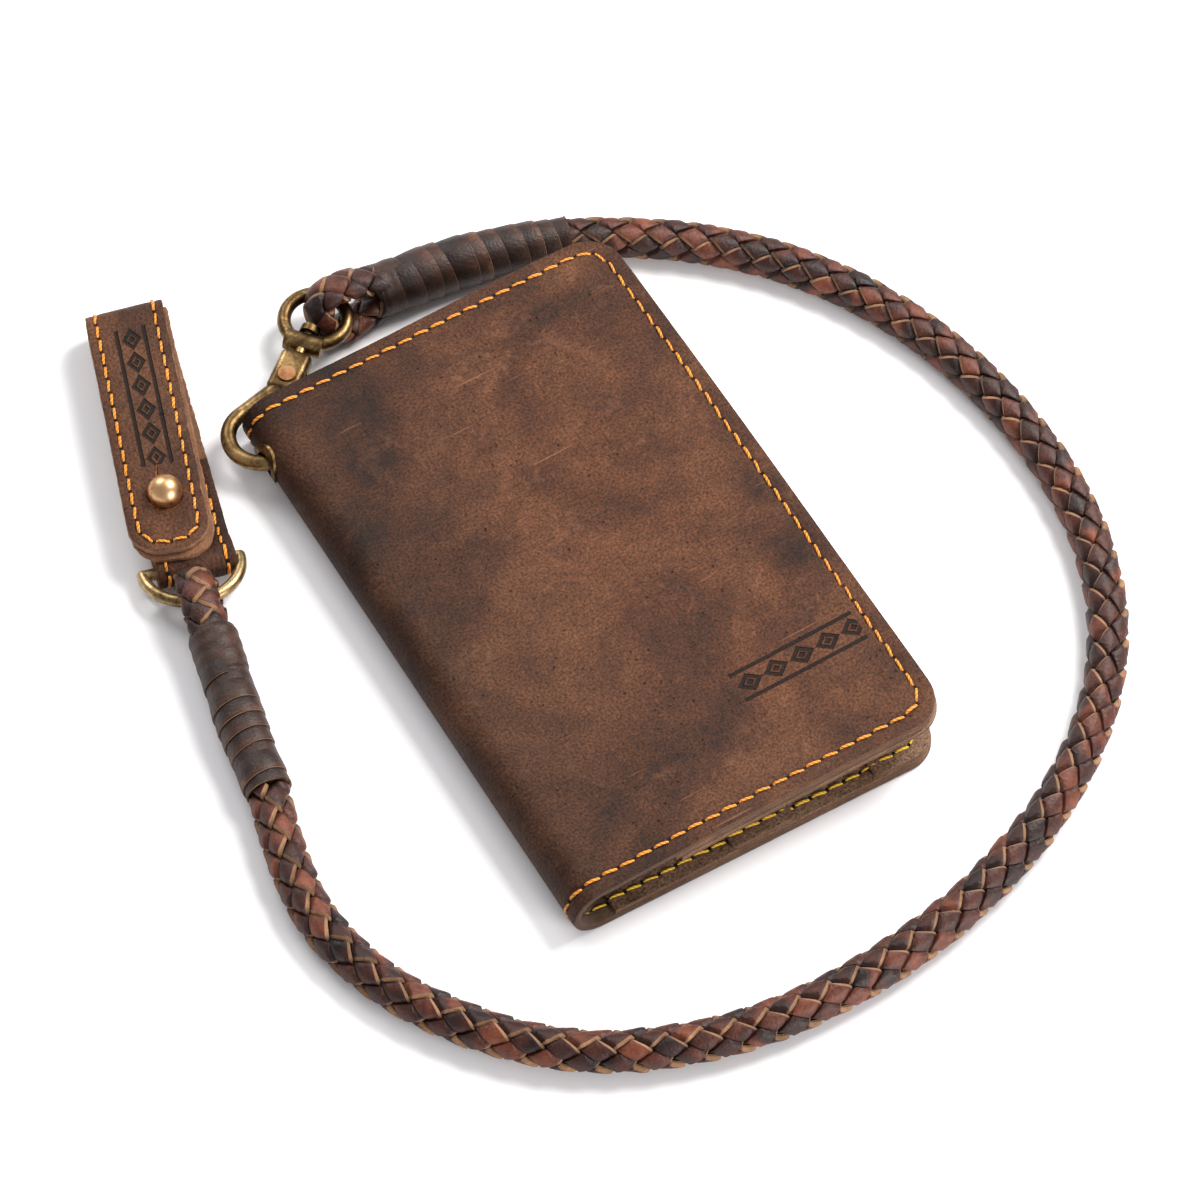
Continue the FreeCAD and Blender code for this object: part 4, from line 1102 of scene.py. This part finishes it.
def round_bar(path, ls, r, sides, start=0):
    """Points and faces of a closed round bar along a path, numbered from start."""
    place, tangent, normal, side = path.read(ls)
    angle = 2 * math.pi * np.arange(sides) / sides
    ring = np.cos(angle)[None, :, None] * normal[:, None, :] + np.sin(angle)[None, :, None] * side[:, None, :]
    points = (place[:, None, :] + r[:, None, None] * ring).reshape(-1, 3)
    faces = []
    for k in range(start, start + (len(ls) - 1) * sides, sides):
        for j in range(sides):
            n = (j + 1) % sides
            faces.append((k + j, k + n, k + sides + n, k + sides + j))
    last = start + (len(ls) - 1) * sides
    faces += [tuple(reversed(range(start, start + sides))), tuple(range(last, last + sides))]
    return points, faces


def tube(name, path, radius, material, sides=14, step=2.0):
    ls = np.arange(0.0, path.length + step * 0.5, step)
    points, faces = round_bar(path, ls, np.full(len(ls), radius), sides)
    return make_mesh(name, points, faces, [material])


line3 = spline_points("cord_line", [(x, y, CORD_Z) for x, y in route])
cord_path = Path(line3)
braid_main = braid("braided_cord", cord_path, 4.5, 28.0, 3.9, 1.25, lift=0.64, bevel=0.52,
                   turned=([0, 130, 255, 430], [0.26, 0.26, -0.53, -0.53]))
# the core tube, near-black as painted shade between the strands
cord_core = tube("cord_core_strip", cord_path, 2.5, core_painted_shade)


def wrapping(name, sections, turns, thick, plain, wobble):
    """A strip wound round the cord in overlapping turns, after a plain band at its start.

    sections is a list of (x, y, z, radius). plain is the length of the smooth band, in mm.
    """
    sections = np.array(sections, float)
    path = Path(spline_points(f"{name}_line", [tuple(p[:3]) for p in sections]), step=0.4)
    place = np.concatenate([[0], np.cumsum(np.linalg.norm(np.diff(sections[:, :3], axis=0), axis=1))])
    place = place / place[-1] * path.length

    def radius(l):
        return np.interp(l, place, sections[:, 3])

    pitch = (path.length - plain) / turns
    per_turn = 44
    section = [(0.0, 0.0), (0.06, 0.35), (0.5, 0.72), (0.9, 0.98), (0.985, 0.92), (1.0, 0.66), (0.96, 0.1)]
    width = pitch * 1.45
    total = turns + 0.999
    phis = np.arange(0, int(total * per_turn)) / per_turn
    points, uvs, tones = [], [], []
    draw = np.random.default_rng(int(turns * 17))
    rise = np.interp(phis, np.arange(0, turns + 3), draw.normal(0, 0.16, turns + 3))
    shade = np.interp(phis * 1.7, np.arange(0, 2 * turns + 6), draw.random(2 * turns + 6))
    stray = np.random.default_rng(int(turns * 13)).normal(0, wobble, turns + 3)
    sway = np.interp(phis, np.arange(0, turns + 3), stray)
    for a, b in section:
        centre = plain - pitch * 0.95 + phis * pitch
        l = centre + width * a + sway * (0.4 + 0.6 * a)
        l = np.clip(l, -0.6, path.length + 0.5)
        slim = thick * (1 - 0.35 * np.clip(l / path.length, 0, 1))
        r = radius(l) + slim * (b - 0.82) + 0.07 * np.sin(7 * phis * 2 * math.pi / 3.3) + rise * (0.3 + 0.7 * b)
        angle = 2 * math.pi * phis
        p, t, n, s_ = path.read(l)
        points.append(p + r[:, None] * (np.cos(angle)[:, None] * n + np.sin(angle)[:, None] * s_))
        uvs.append(np.stack([phis * 2 * math.pi * 5 * MM, l * MM], 1))
        # painted highlight on the crest of each turn and painted shade low under the overlap, in both values; the
        # random part is the strip's own tone
        bright = 0.30 + 0.42 * b ** 8 * (0.4 + 0.6 * shade) + 0.2 * (shade - 0.5)
        tones.append(np.stack([bright, 0.1 + 0.8 * b ** 6 * shade], 1))
    m = len(section)
    points = np.stack(points, 1).reshape(-1, 3)
    uvs = np.stack(uvs, 1).reshape(-1, 2)
    tones = np.stack(tones, 1).reshape(-1, 2)
    faces, mats = [], []
    for k in range(len(phis) - 1):
        for j in range(m - 1):
            a = k * m + j
            quad = (a, a + 1, a + 1 + m, a + m)
            faces.append(quad)
            mats.append(0 if j < 4 else 1)
    # what the turns lie on, and the smooth band
    ls = np.concatenate([np.linspace(-0.2, plain, 26), np.linspace(plain, path.length, 30)[1:]])
    r = radius(ls) - 0.5 * thick
    band = ls[:26]
    r[:26] = radius(band) - 0.1 - 0.35 * np.exp(-(band / 0.7) ** 2) + 0.07 * np.sin(band * 1.9)
    r[24:26] = radius(ls[24:26]) - 0.6
    sides = 36
    under, under_faces = round_bar(path, ls, r, sides, len(points))
    faces += under_faces
    mats += [0] * len(under_faces)
    points = np.concatenate([points, under])
    around = np.tile(2 * math.pi * np.arange(sides) / sides * 5, len(ls))
    uvs = np.concatenate([uvs, np.stack([np.repeat(ls, sides), around], 1) * MM])
    tones = np.concatenate([tones, np.tile([[0.42, 0.35]], (len(under), 1))])
    return make_mesh(name, points, faces, [wrap_leather, wrap_edge], mats, uvs, tones, sharp=42)


wrap_hook = wrapping("whipping_of_hook_end", [(-2.6, 86.8, 6.5, 6.1), (8, 86.3, 6.2, 6.0), (19.6, 84.9, 5.9, 5.6),
                                              (31, 83.0, 5.4, 5.0), (41, 80.2, 4.9, 4.6)], 9, thick=0.85,
                     plain=6.5, wobble=0.75)
wrap_belt = wrapping("whipping_of_belt_end", [(-74.54, 27.3, 5.7, 5.45), (-76.6, 18, 5.6, 5.4), (-79, 8, 5.4, 5.2),
                                              (-80.9, -2, 5.1, 5.0), (-82.1, -10.8, 4.9, 4.8)], 8, thick=0.7,
                     plain=10.5, wobble=0.45)

# the braid's ends, folded round the eye and the D-ring and tucked back into the whippings
EYE = (-17.34, 86.68, 6.8)
LOOP_HOOK = (EYE[0] + 6.3, EYE[1], 6.8)
LOOP_BELT = tuple(strap_point(0.0, -9.65, 5.6))


def loop_line(centre, along, lean, legs, r):
    """Control points of a U whose bend is round a centre; along points from the bend's back to the legs."""
    along = Vector(along).normalized()
    up = Matrix.Rotation(lean, 3, along) @ Vector((0, 0, 1))
    c = Vector(centre)
    points = [c + along * legs + up * (r * 0.5), c + along * (legs * 0.5) + up * (r * 0.82),
              c + up * (r * 1.12) + along * 0.6, c - along * (r * 0.95) + up * (r * 0.98),
              c - along * (r * 1.22), c - along * (r * 0.95) - up * (r * 0.98),
              c - up * (r * 1.12) + along * 0.6, c + along * (legs * 0.5) - up * (r * 0.82),
              c + along * legs - up * (r * 0.5)]
    return [tuple(p) for p in points]


LEAN = math.radians(28)
hook_line = spline_points("loop_line_hook", loop_line(LOOP_HOOK, (1, 0.0, 0), -LEAN, 11.0, 4.5))
hook_loop_path = Path(hook_line, up=(0, math.cos(LEAN), -math.sin(LEAN)), step=0.3)
loop_hook = braid("braid_loop_hook_end", hook_loop_path, 3.1, 17.0, 3.7, 1.0, count=3, lift=0.42, tilt=0.22,
                  step=0.35, squash=(1.7, 1.0), bevel=0.5)
belt_line = spline_points("loop_line_belt", loop_line(LOOP_BELT, tuple(-Vector((-sin_t, cos_t, 0))),
                                                      math.radians(12), 11.0, 3.75))
belt_loop_path = Path(belt_line, up=(cos_t, sin_t, -0.21), step=0.3)
loop_belt = braid("braid_loop_belt_end", belt_loop_path, 2.6, 15.0, 3.1, 0.9, count=3, lift=0.36, tilt=0.2,
                  step=0.35, squash=(1.75, 0.96), bevel=0.45)
loop_core_hook = tube("loop_core_hook_end", hook_loop_path, 1.5, core_painted_shade, 10, 0.8)
loop_core_belt = tube("loop_core_belt_end", belt_loop_path, 1.35, core_painted_shade, 10, 0.8)

for piece in (braid_main, cord_core, wrap_hook, loop_hook, loop_core_hook):
    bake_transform(piece)
for piece in (wrap_belt, loop_belt, loop_core_belt):
    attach(piece, "wallet_back")
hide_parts("cord_braid")
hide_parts("whipping_hook_end")
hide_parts("whipping_belt_end")
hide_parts("loop_hook_end")
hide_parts("loop_belt_end")
path_points = [tuple(p * MM) for p in cord_path.points[::6]] + [tuple(cord_path.points[-1] * MM)]
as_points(path_points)

# ---------------------------------------------------------------- metal parts kept from CAD

for label, material in (("spine_eyelet", brass), ("hook_body", brass), ("hook_gate", brass), ("gate_spring", steel),
                        ("gate_rivet", rivet_copper), ("swivel_eye", brass), ("d_ring", brass_bright),
                        ("ball_stud", copper), ("stud_screw", copper)):
    obj = nodes[label]
    for slot in obj.material_slots:
        slot.material = material

# ---------------------------------------------------------------- floor, light, camera

floor_shader = Shader("floor_white")
floor_grain = floor_shader.noise(floor_shader.coords("Object"), 40, 2, 0.5)
floor_color = floor_shader.ramp(floor_grain, (0.0, (0.93, 0.925, 0.935)), (1.0, (0.95, 0.945, 0.955)))
floor_material = floor_shader.finish(floor_color, 0.9, specular=0.05)
floor = make_mesh("floor", [(-4000, -4000, 0), (4000, -4000, 0), (4000, 4000, 0), (-4000, 4000, 0)], [(0, 1, 2, 3)],
                  [floor_material])

bpy.context.scene.view_settings.view_transform = "Standard"
world = bpy.data.worlds.new("studio")
world.use_nodes = True
world.node_tree.nodes["Background"].inputs[0].default_value = (0.97, 0.965, 1.0, 1)
world.node_tree.nodes["Background"].inputs[1].default_value = 0.5
bpy.context.scene.world = world


def area_light(name, place, aim, power, size, color):
    light = bpy.data.lights.new(name, "AREA")
    light.energy = power
    light.size = size
    light.color = color
    obj = bpy.data.objects.new(name, light)
    obj.location = place
    obj.rotation_euler = (Vector(aim) - Vector(place)).to_track_quat("-Z", "Y").to_euler()
    bpy.context.scene.collection.objects.link(obj)


camera_at = Vector((-0.33127, -0.53347, 0.96882))
right = Vector((0.8619, -0.5067, 0.0183)).normalized()
forward = Vector((0.2885, 0.4605, -0.8395)).normalized()
up = right.cross(forward).normalized()
right = forward.cross(up).normalized()
area_light("key", (0.62, 0.10, 0.80), (0, 0, 0), 14.0, 0.5, (1.0, 0.98, 0.95))
area_light("front", (0.25, -0.95, 0.30), (0, 0, 0), 9.0, 0.5, (1.0, 0.98, 0.96))
area_light("back", (-0.1, 0.9, 0.75), (0, 0, 0), 6.0, 0.6, (1.0, 0.99, 0.97))

camera = bpy.data.cameras.new("camera")
camera.lens = 165
camera.sensor_width = 36
camera.clip_end = 20
camera_object = bpy.data.objects.new("camera", camera)
camera_object.matrix_world = Matrix((
    (right.x, up.x, -forward.x, camera_at.x),
    (right.y, up.y, -forward.y, camera_at.y),
    (right.z, up.z, -forward.z, camera_at.z),
    (0, 0, 0, 1)))
bpy.context.scene.collection.objects.link(camera_object)
bpy.context.scene.camera = camera_object

bpy.context.view_layer.update()
